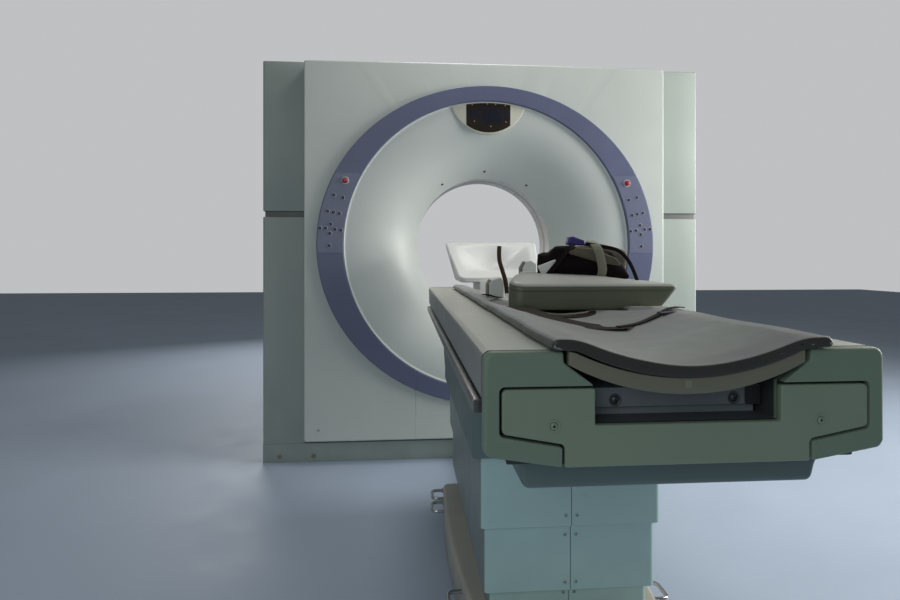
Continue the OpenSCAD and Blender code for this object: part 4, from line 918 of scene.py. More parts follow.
# Right half of each outline in x, z, with the radius of each corner.
table = {"near": -2.291, "far": -0.480, "farSlope": 0.100, "top": 0.878, "low": 0.711, "openHalf": 0.246,
         "openTop": 0.049, "openNear": -1.707, "openFar": -0.7615, "face": -2.2712, "farEdge": 0.006,
         "section": [(0.268, 0.711), (0.268, 0.806), (0.304, 0.806), (0.304, 0.878), (0.187, 0.878),
                     (0.187, 0.862), (0.141, 0.829), (0.141, 0.771)],
         "radii": [0.003, 0.004, 0.004, 0.013, 0.0045, 0.004, 0.004, 0.002],
         "step": 0.0002}


# Housing section, run from the lower right corner over the top; lift raises the middle of the floor.
def housingLoop(lift):
    t = table
    x, low = t["openHalf"], t["low"]
    floorSide = [(-x, low), (-x, low + lift), (x, low + lift), (x, low)]
    points = np.vstack([bothSides(t["section"]), floorSide])
    return fillet(points, t["radii"] + t["radii"][::-1] + [5e-5] * 4, 6)


t, step = table, table["step"]
rows = [placed(housingLoop(lift), y0) for y0, lift in (
    (t["face"], step), (t["openNear"] - step, step), (t["openNear"], t["openTop"]),
    (t["openFar"], t["openTop"]),
    (t["openFar"] + step, step))]
last = housingLoop(step)
ins, dep = edgeSteps(t["farEdge"], 5)
for i in range(4, -1, -1):
    loop = inset(last, min(ins[i], 0.0019) if i < 4 else 0.0)
    slant = t["far"] - t["farSlope"] * (t["top"] - loop[:, 1]) / (t["top"] - t["low"])
    rows.append(placed(loop, slant - dep[i]))
housing = grid("tableHousingShell", rows)
dress(housing, "lift", "housingCream", "housing", angle=30)
# The housing's sides, underside and near-facing faces get painted shade.
paintFaces(housing, "housingSide", lambda c, n: (np.abs(n[:, 0]) > 0.75) & (np.abs(c[:, 0]) > 0.2)
           | (n[:, 2] < -0.7) | (n[:, 1] < -0.7))
# The trough's inner faces get painted shade.
paintFaces(housing, "darkTrough",
           lambda c, n: (np.abs(c[:, 0]) < 0.1885) & (c[:, 2] < 0.8762) & (c[:, 2] > 0.7650))

tableEnd = {
    "frame": [(0.1895, 0.711), (0.296, 0.7275), (0.304, 0.7360), (0.304, 0.878), (0.187, 0.878),
              (0.187, 0.862), (0.143, 0.828), (0.281, 0.828), (0.281, 0.757), (0.1895, 0.740)],
    "frameRadii": [0.003, 0.010, 0.012, 0.014, 0.005, 0.004, 0.001, 0.008, 0.008, 0.004],
    "frameRim": [0.002, 0.005, 0.006, 0.007, 0.004, 0.003, 0.0005, 0.0012, 0.0012, 0.0012],
    "frameFar": -2.2785,
    "back": [(0.1885, 0.7115), (0.2955, 0.7280), (0.3035, 0.7365), (0.3035, 0.8775), (0.1875, 0.8775),
             (0.1875, 0.862), (0.1415, 0.829), (0.1415, 0.7712)],
    "backRadii": [0.004, 0.010, 0.012, 0.014, 0.004, 0.006, 0.003, 0.003], "backY": (-2.2787, -2.2711),
    "plate": [(0.1855, 0.7108), (0.1855, 0.7435), (0.277, 0.7605), (0.277, 0.824), (0.1410, 0.824),
              (0.1410, 0.771)],
    "plateRadii": [0.003, 0.008, 0.008, 0.008, 0.003, 0.003], "plateY": (-2.2909, -2.2790),
    "screwRadius": 0.0098, "screws": [(-0.202, -2.2909, 0.771), (0.202, -2.2909, 0.771)]}


# A plate whose near rim is rounded by a different amount at each point; its back stays square.
def rimmedPlate(name, outline, near, far, rim, steps=5):
    a = np.linspace(0, np.pi / 2, steps)
    rows = [placed(inset(outline, rim + 0.0003), near)]
    rows += [placed(inset(outline, rim * (1 - np.sin(t))), near + rim * (1 - np.cos(t))) for t in a]
    return grid(name, rows + [placed(outline, far)])


e = tableEnd
frameRight = rimmedPlate("frameRight", fillet(e["frame"], e["frameRadii"], 6), table["near"], e["frameFar"],
                         np.repeat(e["frameRim"], 6))
frameLeft = mirrored(frameRight, "frameLeft")
# The near end frame is painted in shade.
dress(joined("endFrame", [frameRight, frameLeft]), "lift", "endGreen", "housing")
backLoop = fillet(bothSides(e["back"]), e["backRadii"] + e["backRadii"][::-1], 6)
# The backing plate is painted near black as shade; its edges take the end frame's painted shade.
backPlate = slab("endFrameBack", backLoop, *e["backY"], "y", 0.0006, 3)
dress(backPlate, "lift", "endBack", "housing")
paintFaces(backPlate, "endGreen", lambda c, n: np.abs(n[:, 1]) < 0.5)
plateLoop = fillet(bothSides(e["plate"]), e["plateRadii"] + e["plateRadii"][::-1], 7)
# The end cover plate and its screw heads carry painted shade.
dress(slab("endCoverPlate", plateLoop, *e["plateY"], "y", 0.0022, 5), "lift", "endPlate",
      "end_cover")
addScrews("endCoverScrews", "lift", "endPlate", e["screwRadius"], e["screws"], "endPlate")

beam = {"face": (-0.137, 0.7845, 0.137, 0.8145), "faceY": (-2.245, -0.541),
        "foot": (-0.132, 0.7712, 0.132, 0.7850), "footY": (-2.236, -0.545), "edge": 0.0015,
        "screws": [(-0.0945, -2.245, 0.7955), (0.0945, -2.245, 0.7955)], "screwRadius": 0.0098,
        "guide": (0.112, 0.7855, 0.1365, 0.8135), "guideY": (-2.2475, -2.2449),
        "ledge": (-0.1405, 0.7710, 0.1405, 0.7714), "ledgeY": (-2.2785, -2.200)}
m = beam
beamParts = [slab("beam" + part, corners(*m[part]), *m[part + "Y"], "y", m["edge"], 3)
             for part in ("face", "foot")]
dress(joined("carriageBeamShell", beamParts), "lift", "beamGrey", "carriage_beam")
addScrews("beamScrews", "lift", "darkMetal", m["screwRadius"], m["screws"], "darkMetal")
beltGuide = slab("beltGuide", rectangle(*m["guide"], 0.004), *m["guideY"], "y", 0.0008, 3)
dress(beltGuide, "lift", "motorBlack", "carriage_beam")
channelLedge = slab("channelLedge", corners(*m["ledge"]), *m["ledgeY"], "y", 0.0001, 2)
dress(channelLedge, "lift", "framePaint")
print("table end made")

under = {"belly": [(-0.258, 0.7112), (-0.255, 0.7010), (-0.239, 0.6860), (-0.231, 0.652), (0.242, 0.651),
                   (0.251, 0.6860), (0.280, 0.7060), (0.282, 0.7215)],
         "bellyRadii": [0.0005, 0.010, 0.018, 0.014, 0.014, 0.026, 0.006, 0.0005], "near": -2.221,
         "far": -1.7065, "edge": 0.010, "skirt": (-0.250, -1.711, 0.250, -0.757), "skirtCorner": 0.014,
         "slope": [(-0.7578, 0.7108), (-0.600, 0.7108), (-0.7530, 0.571), (-0.7578, 0.571)],
         "slopeRadii": [0.0005, 0.004, 0.002, 0.0005], "slopeHalf": 0.2499}
u = under
bellyLoop = fillet(u["belly"], u["bellyRadii"], 7)
ins, dep = edgeSteps(u["edge"], 6)
soft = np.where(bellyLoop[:, 1] > 0.70, 0.2, 1.0)  # less rounding near the housing
rows = [placed(inset(bellyLoop, (u["edge"] + 0.001) * soft), u["near"])]
rows += [placed(inset(bellyLoop, ins[i] * soft), u["near"] + dep[i] * soft) for i in range(6)]
belly = grid("bellyShell", rows + [placed(bellyLoop, u["far"])])
skirtLoop = rectangle(*u["skirt"], u["skirtCorner"], 8)
skirt = grid("skirtShell", [placed(inset(skirtLoop, e), z, "z") for e, z in (
    (0, 0.7108), (0, 0.5245), (0.0010, 0.5222), (0.0035, 0.5225), (0.004, 0.526),
    (0.004, 0.7108))], shut=True)
slopeLoop = fillet(u["slope"], u["slopeRadii"], 5)
slope = slab("skirtSlope", slopeLoop, -u["slopeHalf"], u["slopeHalf"], "x", 0.002, 5)
# The under cover is painted in shade.
dress(joined("underCoverShell", [belly, skirt, slope]), "lift", "underBlue", "under_cover")

rail = {"section": (0.2965, 0.7785, 0.3138, 0.7998), "ends": (-2.2405, -0.5805),
        "brackets": (-2.141, -1.641, -1.141, -0.641),
        "bracketX": (0.268, 0.2972), "bracketY": (0.0005, 0.0295), "bracketZ": (0.7825, 0.7955)}
bars, brackets = [], []
for side in (-1, 1):
    outline = rectangle(*rail["section"], 0.003, 5)
    bars.append(slab("rail", outline if side > 0 else flipX(outline), *rail["ends"], "y", 0.0015, 3))
    for y0 in rail["brackets"]:
        lo, hi = sorted(side * x for x in rail["bracketX"])
        (y1, y2), (z1, z2) = rail["bracketY"], rail["bracketZ"]
        brackets.append(slab("bracket", rectangle(y0 + y1, z1, y0 + y2, z2, 0.002, 4), lo, hi,
                             "x", 0.0008, 3))
dress(joined("sideRailBars", bars), "lift", "railSteel", "side_rails")
dress(joined("sideRailBrackets", brackets), "lift", "darkMetal", "side_rails")
print("housing made")

cradle = {"underLow": 0.815, "shift": -0.005, "underR": 0.375, "topLow": 0.839, "topR": 0.385,
          "topRim": 0.8790, "half": 0.177, "near": -2.300, "capFar": -2.288, "far": -0.640, "least": 0.0012,
          "marker": (-0.0120, 0.8242, -0.0018, 0.8360), "markerY": (-2.3011, -2.2995)}


def sag(radius, x):
    return radius - np.sqrt(radius ** 2 - np.minimum(np.abs(x), radius * 0.99) ** 2)


# The tabletop's section lies between two arcs; its shoulders are cut level.
def crescentLoop(shrink, count=40):
    c = cradle
    x = np.linspace(-c["half"] + shrink, c["half"] - shrink, count)
    low = c["underLow"] + sag(c["underR"], x)
    high = np.maximum(np.minimum(c["topLow"] + sag(c["topR"], x), c["topRim"]), low + c["least"])
    rows = [np.column_stack([x, low + shrink * 0.8]), np.column_stack([x, high - shrink * 0.8])[::-1]]
    return np.vstack(rows) + (c["shift"], 0)


def crescent(name, near, far, edge):
    steps = np.linspace(0, np.pi / 2, 5)
    rows = [placed(crescentLoop(edge * (1 - np.sin(t)) * 0.5), near + edge * (1 - np.cos(t))) for t in steps]
    rows += [placed(crescentLoop(edge * (1 - np.sin(t)) * 0.3), far - edge * (1 - np.cos(t)))
             for t in steps[::-1]]
    return grid(name, rows, zipFrom=0)


c = cradle
dress(crescent("tabletopShell", c["capFar"], c["far"], 0.0008), "cradle", "carbon", "tabletop")
dress(crescent("endCapShell", c["near"], c["capFar"] - 0.0001, 0.003), "cradle", "capOlive",
      "end_cap")
marker = slab("endCapPlate", rectangle(*c["marker"], 0.0012, 4), *c["markerY"], "y", 0.0004, 3)
dress(marker, "cradle", "markerPale")
print("cradle made")

softening = {"frames": 20, "pressure": 4.0, "quality": 4, "voxel": 0.005}


# The evaluated mesh takes the place of the plain one, and the modifiers go.
def applyModifiers(piece):
    graph = bpy.context.evaluated_depsgraph_get()
    graph.update()
    mesh = bpy.data.meshes.new_from_object(piece.evaluated_get(graph))
    piece.modifiers.clear()
    old = piece.data
    piece.data = mesh
    bpy.data.meshes.remove(old)


# Cloth with air pressure swells a closed mesh; each point may move by the cap at most.
def puffed(piece, voxel, cap, keep=None):
    name = piece.name
    if voxel:
        remesh = piece.modifiers.new("voxels", "REMESH")
        remesh.mode = "VOXEL"
        remesh.voxel_size = voxel
        applyModifiers(piece)
    start = pointsOf(piece)
    cloth = piece.modifiers.new("cloth", "CLOTH")
    cloth.settings.use_pressure = True
    cloth.settings.uniform_pressure_force = softening["pressure"]
    cloth.settings.effector_weights.gravity = 0.0
    cloth.settings.quality = softening["quality"]
    cloth.point_cache.frame_start = 1
    cloth.point_cache.frame_end = softening["frames"]
    for step in range(1, softening["frames"] + 1):
        bpy.context.scene.frame_set(step)
    applyModifiers(piece)
    moved = pointsOf(piece) - start
    length = np.linalg.norm(moved, axis=1, keepdims=True)
    moved *= np.minimum(1.0, cap / np.maximum(length, 1e-9))
    if keep is not None:
        moved *= keep(start)[:, None]
    setPoints(piece, start + moved)
    bpy.context.scene.frame_set(1)
    subdivide = piece.modifiers.new("soft", "SUBSURF")
    subdivide.levels = 1
    applyModifiers(piece)
    piece.name = name
    return piece


pad = {"near": -2.302, "far": -0.655, "half": 0.2125, "shift": 0.0045, "low": 0.8396, "thick": 0.0185,
       "edge": 0.0045, "rest": 0.8803, "rows": 150, "cap": 0.0025, "press": (0.05, 0.25), "pressSide": 14,
       "riseX": [0, 0.02, 0.05, 0.09, 0.125, 0.153, 0.168, 0.180, 0.192, 0.215],
       "riseZ": [0, 0.0006, 0.0036, 0.0108, 0.0205, 0.0312, 0.0358, 0.0380, 0.0386, 0.0386]}
board = {"left": -0.150, "right": 0.319, "near": -1.612, "far": -1.175, "low": 0.8735, "rim": 0.9410,
         "round": 0.013, "slant": 0.043, "dome": 0.026, "middle": (0.100, -1.390), "points": 260,
         "back": [-0.030, -0.075, -1.400], "radii": [0.036, 0.014, 0.020, 0.045, 0.120], "seamZ": 0.9245,
         "seamRadius": 0.0010}


# Height of the mattress: its profile rises from the middle to the sides, evened out over 24 mm.
def padTop(x):
    near = np.abs(x)[..., None] + np.linspace(-0.012, 0.012, 9)
    return pad["low"] + pad["thick"] + np.interp(np.abs(near), pad["riseX"], pad["riseZ"]).mean(axis=-1)


def padUnder(x):
    return np.minimum(pad["low"] + sag(cradle["topR"], x), pad["rest"])


# Half section of the mattress: the underside follows the tabletop, then the rim lies on the housing.
def padLoop(e):
    x = np.linspace(0, 0.178, 26)
    edge = pad["half"] - e
    rimPoints = [(0.1835, pad["rest"]), (edge, pad["rest"] + e), (edge, padTop(edge) - e),
                 (0.190, padTop(0.190) - e)]
    rim = fillet(rimPoints, [sharp, 0.0062, 0.0098, sharp], 8)[6:-7]
    xt = np.linspace(0.180, 0, 30)
    half = np.vstack([np.column_stack([x, padUnder(x)]), rim, np.column_stack([xt, padTop(xt)]) - (0, e)])
    loop = np.vstack([half, flipX(half[1:-1])])
    loop[:, 0] += pad["shift"] * (np.abs(loop[:, 0]) / pad["half"]) ** 4
    return loop


# Under the board the foam is pressed down; round it and along the sides it rises again.
def pressed(points):
    x, y, z = points[:, 0], points[:, 1], points[:, 2]
    outX = np.maximum(np.maximum(board["left"] - 0.004 - x, x - board["right"]), 0)
    outY = np.maximum(np.maximum(board["near"] - 0.004 - y, y - board["far"]), 0)
    limit = np.interp(np.abs(x), [0.160, 0.174], [board["low"] - 0.0006, 0.8836])
    limit = limit + pad["pressSide"] * outX ** 2 + pad["press"][0] * outY + pad["press"][1] * outY ** 2
    ripple = 0.0011 * np.sin(y * 9.0 + 3.0 * x) * np.sin(x * 21.0 + 1.3) + 0.0007 * np.sin(y * 23.0 + 9.0 * x)
    wave = 0.0016 * np.sin(y * 17.0) * np.sin(y * 5.3 + 0.8) * np.clip((np.abs(x) - 0.17) / 0.03, 0, 1)
    rise = np.clip((z - padUnder(x) - 0.006) / 0.006, 0, 1)
    return np.column_stack([x + np.sign(x) * wave, y, np.minimum(z + ripple * rise, limit)])


# Only the upper side may swell; the underside stays on the tabletop and the housing.
def upperSide(points):
    rise = points[:, 2] - padUnder(points[:, 0])
    ends = np.minimum(points[:, 1] - pad["near"], pad["far"] - points[:, 1])
    inside = np.clip((0.195 - np.abs(points[:, 0])) / 0.02, 0, 1)
    return np.clip((rise - 0.005) / 0.008, 0.0, 1.0) * np.clip((ends - 0.012) / 0.03, 0, 1) * inside


ins, dep = edgeSteps(pad["edge"], 5)
rows = [placed(padLoop(ins[i]), pad["near"] + dep[i]) for i in range(5)]
rows += [placed(padLoop(0), y0) for y0 in np.linspace(pad["near"] + 0.010, pad["far"] - 0.010, pad["rows"])]
rows += [placed(padLoop(ins[i]), pad["far"] - dep[i]) for i in range(4, -1, -1)]
mattress = puffed(grid("mattressPad", rows, zipFrom=len(rows[0]) - 31), 0, pad["cap"], upperSide)
setPoints(mattress, pressed(pointsOf(mattress)))
dress(mattress, "cradle", "mattressTop", "mattress", angle=60)
# The mattress's near end, underside and outer sides get painted shade.
paintFaces(mattress, "mattressEdge",
           lambda c, n: (n[:, 1] < -0.55) | (n[:, 2] < -0.2)
           | ((np.abs(n[:, 0]) > 0.75) & (np.abs(c[:, 0]) > 0.195)))
print("mattress made")

rest = {"near": -0.640, "far": -0.345, "nearZ": 0.924, "farZ": 1.088, "low": 0.9045, "lowHalf": 0.172,
        "farHalf": 0.221, "back": -0.331, "corners": [0.030, 0.030, 0.020, 0.020], "scoop": 0.060,
        "oval": (0.178, 0.135), "roll": 0.010, "footY": -0.49, "points": 200, "tongueHalf": 0.090,
        "tongueTop": 0.9052, "tongueLow": 0.8396, "tongueR": 0.500, "tongueY": (-0.6545, -0.400)}


# The rim is a rounded four-sided outline on a sloping plane; the scoop deepens towards its middle.
def headrestRows():
    s = rest
    length = math.hypot(s["far"] - s["near"], s["farZ"] - s["nearZ"])
    slope = np.array([s["far"] - s["near"], s["farZ"] - s["nearZ"]]) / length
    nearHalf = s["lowHalf"] + (s["farHalf"] - s["lowHalf"]) * 0.16
    plan = [(-nearHalf, 0), (nearHalf, 0), (s["farHalf"], length), (-s["farHalf"], length)]
    outline = evenly(fillet(plan, s["corners"], 10), s["points"])
    centre = np.array([0.0, length * 0.56])

    def at(plan, depth):
        y = s["near"] + slope[0] * plan[:, 1] + slope[1] * depth
        z = s["nearZ"] + slope[1] * plan[:, 1] - slope[0] * depth
        return np.column_stack([plan[:, 0], y, z])
    rows = []
    a = np.arctan2(outline[:, 1] - centre[1], outline[:, 0] - centre[0])
    oval = centre + np.column_stack([s["oval"][0] * np.cos(a), s["oval"][1] * np.sin(a)])
    for t in np.linspace(0.02, 0.95, 34):
        b = np.clip((t - 0.45) / 0.5, 0, 1) ** 1.5
        plan = centre + ((oval - centre) * (1 - b) + (outline - centre) * b) * t
        rows.append(at(plan, s["scoop"] * (1 - min(t / 0.86, 1.0) ** 2) ** 1.3))
    for a in np.linspace(0, np.pi / 2, 6):
        deep = s["roll"] * (1 - np.cos(a)) * 0.9 - 0.0008 * np.sin(a * 2)
        rows.append(at(inset(outline, s["roll"] * (1 - np.sin(a))), deep))
    rim = at(outline, s["roll"] * 0.9)
    foot = rim.copy()
    halfThere = nearHalf + (s["farHalf"] - nearHalf) * np.clip(outline[:, 1] / length, 0, 1)
    foot[:, 0] *= s["lowHalf"] / np.maximum(s["lowHalf"], halfThere)
    foot[:, 1] = np.clip(foot[:, 1], s["near"] + 0.001, s["back"])
    foot[:, 2] = s["low"] + 0.004
    rows += [rim + (foot - rim) * t for t in (0.25, 0.5, 0.75, 1.0)]
    sole = foot.copy()
    sole[:, :2] = (0, s["footY"]) + (foot[:, :2] - (0, s["footY"])) * 0.965
    sole[:, 2] = s["low"]
    return rows + [sole]


s = rest
headrest = grid("headrestShell", headrestRows())
tongueX = np.linspace(-s["tongueHalf"], s["tongueHalf"], 20)
tongueLoop = np.vstack([np.column_stack([tongueX, s["tongueLow"] + sag(s["tongueR"], tongueX)]),
                        [[s["tongueHalf"], s["tongueTop"]], [-s["tongueHalf"], s["tongueTop"]]]])
tongue = slab("headrestTongue", tongueLoop, *s["tongueY"], "y", 0.0008, 3)
dress(headrest, "cradle", "headWhite", "headrest", angle=50)
dress(tongue, "cradle", "headWhite", "headrest")

# Plan outline of the board: its left side runs inwards to the back, with large soft corners.
s = board
backX, bendX, bendY = s["back"]
boardCorners = [(s["left"], s["near"]), (s["right"], s["near"]), (s["right"] - 0.012, s["far"]),
                (backX, s["far"]), (bendX, bendY)]
boardLoop = evenly(fillet(boardCorners, s["radii"], 12), s["points"])
boardMiddle = np.array(s["middle"])


# One row of the board at height z: it leans out on the right, domes to the back and clears the rims.
def boardRow(e, z, dome=0.0, t=1.0):
    loop = inset(boardLoop, e)
    loop = boardMiddle + (loop - boardMiddle) * t
    lean = board["slant"] * np.clip((0.931 - z) / 0.052, 0, 1)
    loop[:, 0] -= lean * np.clip((loop[:, 0] - 0.10) / 0.19, 0, 1)
    back = np.clip((loop[:, 1] - board["near"]) / 0.13, 0, 1)
    side = np.interp(loop[:, 0], [-0.16, -0.02, 0.14, 0.25, 0.31], [0.9, 1.0, 0.7, 0.22, 0.1])
    height = z + dome * board["dome"] * np.sin(back * np.pi / 2) * side
    onRim = np.interp(np.abs(loop[:, 0]), [0.160, 0.176, 0.208, 0.216], [0, 0.8842, 0.8842, 0.8788])
    return placed(loop, np.maximum(height, onRim), "z")


low, rim, bend = s["low"], s["rim"], s["round"]
ins, dep = edgeSteps(bend, 6)
rows = [boardRow(0.006, low, t=t) for t in (0.08, 0.25, 0.45, 0.65, 0.8, 0.9, 0.96)]
rows += [boardRow(0.006, low), boardRow(0.0016, low + 0.0016), boardRow(0.0, low + 0.006)]
rows += [boardRow(-0.001 * math.sin(math.pi * t), low + 0.006 + t * 0.045, t * 0.55)
         for t in np.linspace(0.15, 1.0, 6)]
rows += [boardRow(ins[i], rim - dep[i], 1 - 0.35 * dep[i] / bend) for i in range(5, -1, -1)]
rows += [boardRow(bend, rim + 0.0004 + 0.0015 * (1 - t), 1.0, t)
         for t in (0.95, 0.88, 0.75, 0.6, 0.4, 0.2, 0.05)]
positionBoard = grid("positioningBoard", rows)
dress(positionBoard, "cradle", "boardGrey", "positioning_board", angle=60)
paintFaces(positionBoard, "boardEdge", lambda c, n: n[:, 2] < 0.55)
seam = tube("boardSeam", boardRow(-0.0004, s["seamZ"], 0.6), s["seamRadius"], 8, closed=True)
dress(seam, "cradle", "boardSeam")
print("headrest and board made")

bag = {"near": -1.478, "far": -1.300, "taper": 0.62, "drop": 0.030, "middle": 0.120,
       "cap": 0.007, "padCap": 0.006,
       "outline": [(-0.041, 0.953), (0.258, 0.946), (0.241, 0.980), (0.222, 1.012), (0.196, 1.035),
                   (0.104, 1.046), (0.054, 1.053), (0.013, 1.052), (-0.006, 1.031), (-0.043, 1.029),
                   (-0.043, 0.985)],
       "rearPad": [(0.060, 0.975), (0.246, 0.975), (0.255, 1.006), (0.250, 1.036), (0.165, 1.058),
                   (0.075, 1.042)], "rearPadY": (-1.440, -1.372),
       "foldPad": [(0.050, 1.026), (0.082, 1.042), (0.128, 1.039), (0.196, 1.010), (0.214, 0.988),
                   (0.150, 0.997)], "foldPadY": (-1.4885, -1.4745)}


# The bag's outline shrinks and sinks towards its far end, and its front bulges out.
def bagRows():
    b = bag
    loop = inset(fillet(b["outline"], 0.007, 4), 0.003)
    rows = []
    for t in np.concatenate([[0, 0.02, 0.06], np.linspace(0.12, 0.94, 8), [0.98, 1.0]]):
        shrink = 1 - (1 - b["taper"]) * t ** 0.8
        edge = 0.010 * (max(0, 1 - t / 0.08) ** 2 + max(0, 1 - (1 - t) / 0.08) ** 2)
        x, z = inset(loop, edge).T
        sunk = z - b["drop"] * t * np.clip((z - 0.955) / 0.08, 0, 1)
        row = np.column_stack([b["middle"] + (x - b["middle"]) * shrink, sunk])
        rows.append(placed(row, b["near"] + 0.006 + t * (b["far"] - b["near"] - 0.006)))
    return rows


def aboveBoard(points):
    return np.clip((points[:, 2] - 0.953) / 0.010, 0.0, 1.0)


bagBody = puffed(grid("strapBagBody", bagRows()), softening["voxel"], bag["cap"], aboveBoard)
dress(bagBody, "cradle", "bagBlack", "strap_bag", angle=60)
rearLoop = inset(fillet(bag["rearPad"], 0.012, 5), 0.003)
rearPad = puffed(slab("olivePad", rearLoop, *bag["rearPadY"], "y", 0.014, 4), softening["voxel"],
                 bag["padCap"])
dress(rearPad, "cradle", "padOlive", angle=60)
foldPad = slab("oliveFold", fillet(bag["foldPad"], 0.004, 4), *bag["foldPadY"], "y", 0.0045, 4)
dress(foldPad, "cradle", "padOlive", angle=60)


# A strap: a smooth curve through the points carries a flat section, its broad side facing up.
def strap(name, path, width, thick, up, samples=60):
    p = np.asarray(path, float)
    t = np.linspace(0, len(p) - 1, samples)
    k = np.clip(t.astype(int), 0, len(p) - 2)
    f = (t - k)[:, None]
    before, after = p[np.maximum(k - 1, 0)], p[np.minimum(k + 2, len(p) - 1)]
    a, b = p[k], p[k + 1]
    p = 0.5 * (2 * a + (b - before) * f + (2 * before - 5 * a + 4 * b - after) * f ** 2
               + (3 * a - before - 3 * b + after) * f ** 3)
    tangent = np.gradient(p, axis=0)
    tangent /= np.linalg.norm(tangent, axis=1, keepdims=True)
    side = np.cross(tangent, np.broadcast_to(up, p.shape))
    side /= np.linalg.norm(side, axis=1, keepdims=True)
    normal = np.cross(side, tangent)
    w, h = width / 2, thick / 2
    section = rectangle(-w, -h, w, h, thick * 0.35, 4)[None, :, :]
    points = p[:, None, :] + section[..., 0:1] * side[:, None, :] + section[..., 1:2] * normal[:, None, :]
    return grid(name, points)


# Points lying on the mattress: x, y and the height above it.
def onPad(*places):
    return [(x, y, float(padTop(np.array(x))) + lift) for x, y, lift in places]


# Each strap: name, material, path, width, thickness, upward direction.
straps = [
    ("bagBand", "paleOlive",
     [(0.148, -1.482, 0.953), (0.150, -1.497, 0.975), (0.145, -1.497, 1.010), (0.140, -1.490, 1.034),
      (0.137, -1.470, 1.050), (0.137, -1.430, 1.062)], 0.026, 0.0025, (0, -1, 0)),
    ("bagEdgeStrap", "bagBlack",
     [(0.262, -1.482, 0.936), (0.246, -1.489, 0.972), (0.226, -1.490, 1.008), (0.198, -1.485, 1.034),
      (0.150, -1.470, 1.046), (0.108, -1.462, 1.053)], 0.011, 0.0030, (0, -1, 0.2)),
    ("bagLeftStrap", "bagBlack",
     [(-0.015, -1.486, 0.953), (0.010, -1.492, 0.985), (0.034, -1.492, 1.015), (0.060, -1.484, 1.042),
      (0.080, -1.465, 1.056)], 0.013, 0.0030, (0, -1, 0.1)),
    ("uprightStrap", "strapBrown",
     [(-0.066, -1.160, 0.890), (-0.070, -1.158, 0.930), (-0.079, -1.152, 0.965), (-0.089, -1.150, 1.000),
      (-0.091, -1.150, 1.030), (-0.090, -1.150, 1.052)], 0.015, 0.0034, (0.15, -1, 0)),
    ("hollowStrap", "webbing",
     onPad((-0.112, -1.618, 0.003), (-0.060, -1.648, 0.003), (0.0, -1.668, 0.003), (0.058, -1.656, 0.003))
     + [(0.090, -1.625, 0.8705), (0.096, -1.590, 0.8700)], 0.036, 0.0024, (0, 0, 1)),
    ("hollowStrapPale", "paleOlive",
     onPad((-0.070, -1.616, 0.006), (-0.020, -1.632, 0.006), (0.040, -1.628, 0.006))
     + [(0.080, -1.612, 0.8712)], 0.014, 0.0022, (0, 0, 1)),
    ("flatFlap", "flapBrown",
     onPad((-0.135, -1.640, 0.004), (-0.098, -1.735, 0.003), (-0.045, -1.825, 0.003),
           (0.012, -1.895, 0.003), (0.062, -1.935, 0.004)), 0.082, 0.0030, (0, 0, 1)),
    ("rightStrap", "webbing",
     onPad((0.030, -1.930, 0.008), (0.080, -1.915, 0.006), (0.130, -1.893, 0.006), (0.165, -1.874, 0.006),
           (0.192, -1.858, 0.005), (0.209, -1.850, 0.004)), 0.015, 0.0024, (0, 0, 1)),
    ("leftStrap", "bagBlack",
     onPad((-0.170, -1.360, 0.006), (-0.155, -1.300, 0.006), (-0.120, -1.215, 0.006),
           (-0.090, -1.160, 0.008)), 0.018, 0.0026, (0, 0, 1))]
for name, material, path, width, thick, up in straps:
    dress(strap(name, path, width, thick, up), "cradle", material, angle=50)

# Each small block: name, material, slot, outline, corner radius and steps, ends along Y, edge and steps.
blocks = [
    ("strapBuckle", "buckleBlue", "bag_nylon",
     [(0.056, 1.050), (0.110, 1.048), (0.106, 1.062), (0.072, 1.074), (0.060, 1.072)],
     (0.005, 5), (-1.474, -1.438), (0.004, 4)),
    ("whiteFold", "headWhite", "bag_nylon",
     [(-0.036, 0.988), (0.024, 1.010), (0.004, 0.985), (-0.018, 0.960), (-0.024, 0.966)],
     (0.003, 4), (-1.4875, -1.4765), (0.0035, 4)),
    ("wedgeBlockA", "headWhite", "board_foam",
     [(-0.030, 0.9495), (0.024, 0.9495), (0.022, 0.992), (0.004, 1.003), (-0.018, 1.000), (-0.030, 0.978)],
     (0.006, 5), (-1.235, -1.180), (0.005, 4)),
    ("wedgeBlockB", "headWhite", "board_foam",
     [(-0.128, 0.8745), (-0.072, 0.8725), (-0.070, 0.930), (-0.082, 0.946), (-0.118, 0.936), (-0.128, 0.920)],
     (0.006, 5), (-1.150, -1.075), (0.005, 4)),
    ("strapSlider", "keyDark", "bag_nylon",
     [(0.140, 0.8870), (0.172, 0.8905), (0.171, 0.8965), (0.139, 0.8935)],
     (0.0015, 3), (-1.905, -1.872), (0.0015, 3))]
for name, material, slot, outline, bend, ends, edge in blocks:
    block = slab(name, fillet(outline, *bend), *ends, "y", *edge)
    dress(block, "cradle", material)
    # The wedge blocks' left faces get the olive cloth colour as painted shade.
    if slot == "board_foam":
        paintFaces(block, "padOlive", lambda c, n: n[:, 0] < -0.6)
print("straps and bag made")

bare = {"stand_frame": "framePaint", "tilt_bearings": "steel", "tilt_frame": "tiltPaint",
        "drum_bearing": "steel", "drum_motor": "motorBlack", "drive_belt": "rubber", "drum": "drumMetal",
        "xray_tube": "tubePaint", "detector": "detectorPaint", "generator": "tubePaint",
        "slip_ring": "copper", "motor_pulley": "drumMetal", "column_outer": "steel", "column_middle": "steel",
        "column_inner": "steel", "light_windows": "lightGlass"}
for node, material in bare.items():
    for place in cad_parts[node].material_slots:
        place.material = materials[material]
print("frame nodes dressed")

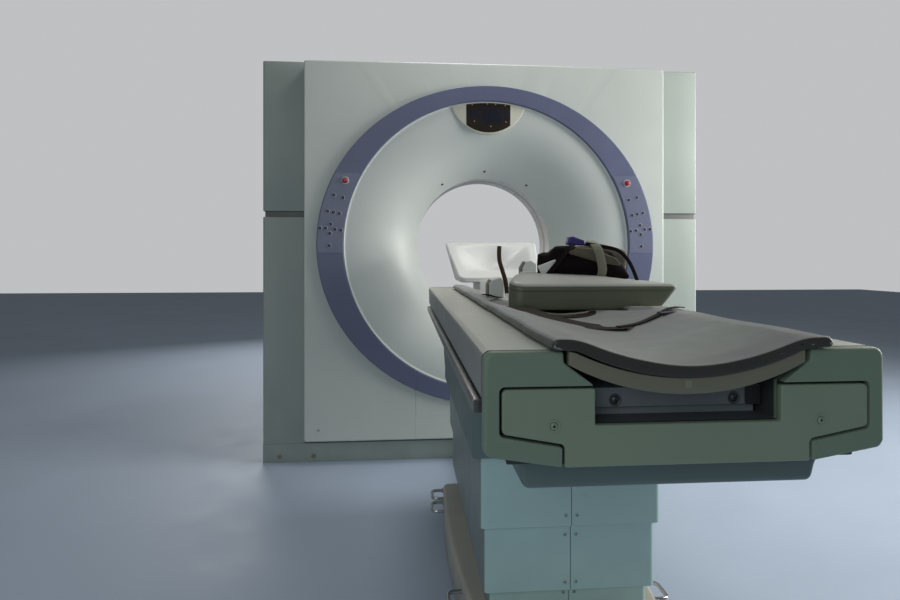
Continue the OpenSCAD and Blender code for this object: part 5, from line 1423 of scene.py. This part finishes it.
# Each lamp: place, power and size; all of them face the aim.
light = {"lamps": {"side": ((4.3, -1.15, 1.65), 112.0, 2.0), "high": ((2.3, -1.35, 2.9), 17.0, 1.3),
                   "edge": ((1.9, -0.95, 1.5), 10.0, 0.7), "fill": ((-1.9, -4.6, 2.1), 23.0, 2.6),
                   "back": ((-1.6, 3.6, 2.5), 60.0, 2.6), "top": ((-0.1, -0.40, 2.75), 11.0, 0.7)},
         "aim": (0.2, -0.4, 1.0), "warm": (1.0, 0.98, 0.94), "cool": (0.92, 0.98, 1.0),
         "world": 0.13, "sky": (0.86, 0.92, 0.94, 1.0), "backdrop": (0.52, 0.53, 0.54, 1.0), "floorHalf": 14}


def areaLight(name, place, power, size, colour):
    data = bpy.data.lights.new(name, "AREA")
    data.shape = "DISK"
    data.size = size
    data.energy = power
    data.color = colour
    lamp = bpy.data.objects.new(name, data)
    lamp.location = place
    x, y, z = np.array(light["aim"]) - np.array(place)
    lamp.rotation_euler = (math.atan2(math.hypot(x, y), -z), 0, math.atan2(-x, y))
    bpy.context.collection.objects.link(lamp)


# The camera sees a plain backdrop; everything else is lit by the dim sky.
def makeWorld(s):
    world = bpy.data.worlds.new("softRoom")
    world.use_nodes = True
    tree = world.node_tree
    ambient = tree.nodes["Background"]
    ambient.inputs["Color"].default_value = s["sky"]
    ambient.inputs["Strength"].default_value = s["world"]
    backdrop = addNode(tree, "ShaderNodeBackground", {"Color": s["backdrop"], "Strength": 1.0})
    chooser = addNode(tree, "ShaderNodeMixShader")
    ray = addNode(tree, "ShaderNodeLightPath")
    tree.links.new(ray.outputs["Is Camera Ray"], chooser.inputs[0])
    tree.links.new(ambient.outputs[0], chooser.inputs[1])
    tree.links.new(backdrop.outputs[0], chooser.inputs[2])
    tree.links.new(chooser.outputs[0], tree.nodes["World Output"].inputs["Surface"])
    bpy.context.scene.world = world


for name, (place, power, size) in light["lamps"].items():
    areaLight(name + "Light", place, power, size, light["cool" if name == "fill" else "warm"])
makeWorld(light)
bpy.context.scene.view_settings.view_transform = "Standard"

x = light["floorHalf"]
floorSheet = addMesh("paleFloor", [(*corner, 0) for corner in corners(-x, -x, x, x)], [[0, 1, 2, 3]])
floorSheet.data.materials.append(materials["floorPale"])
print("light and floor made")
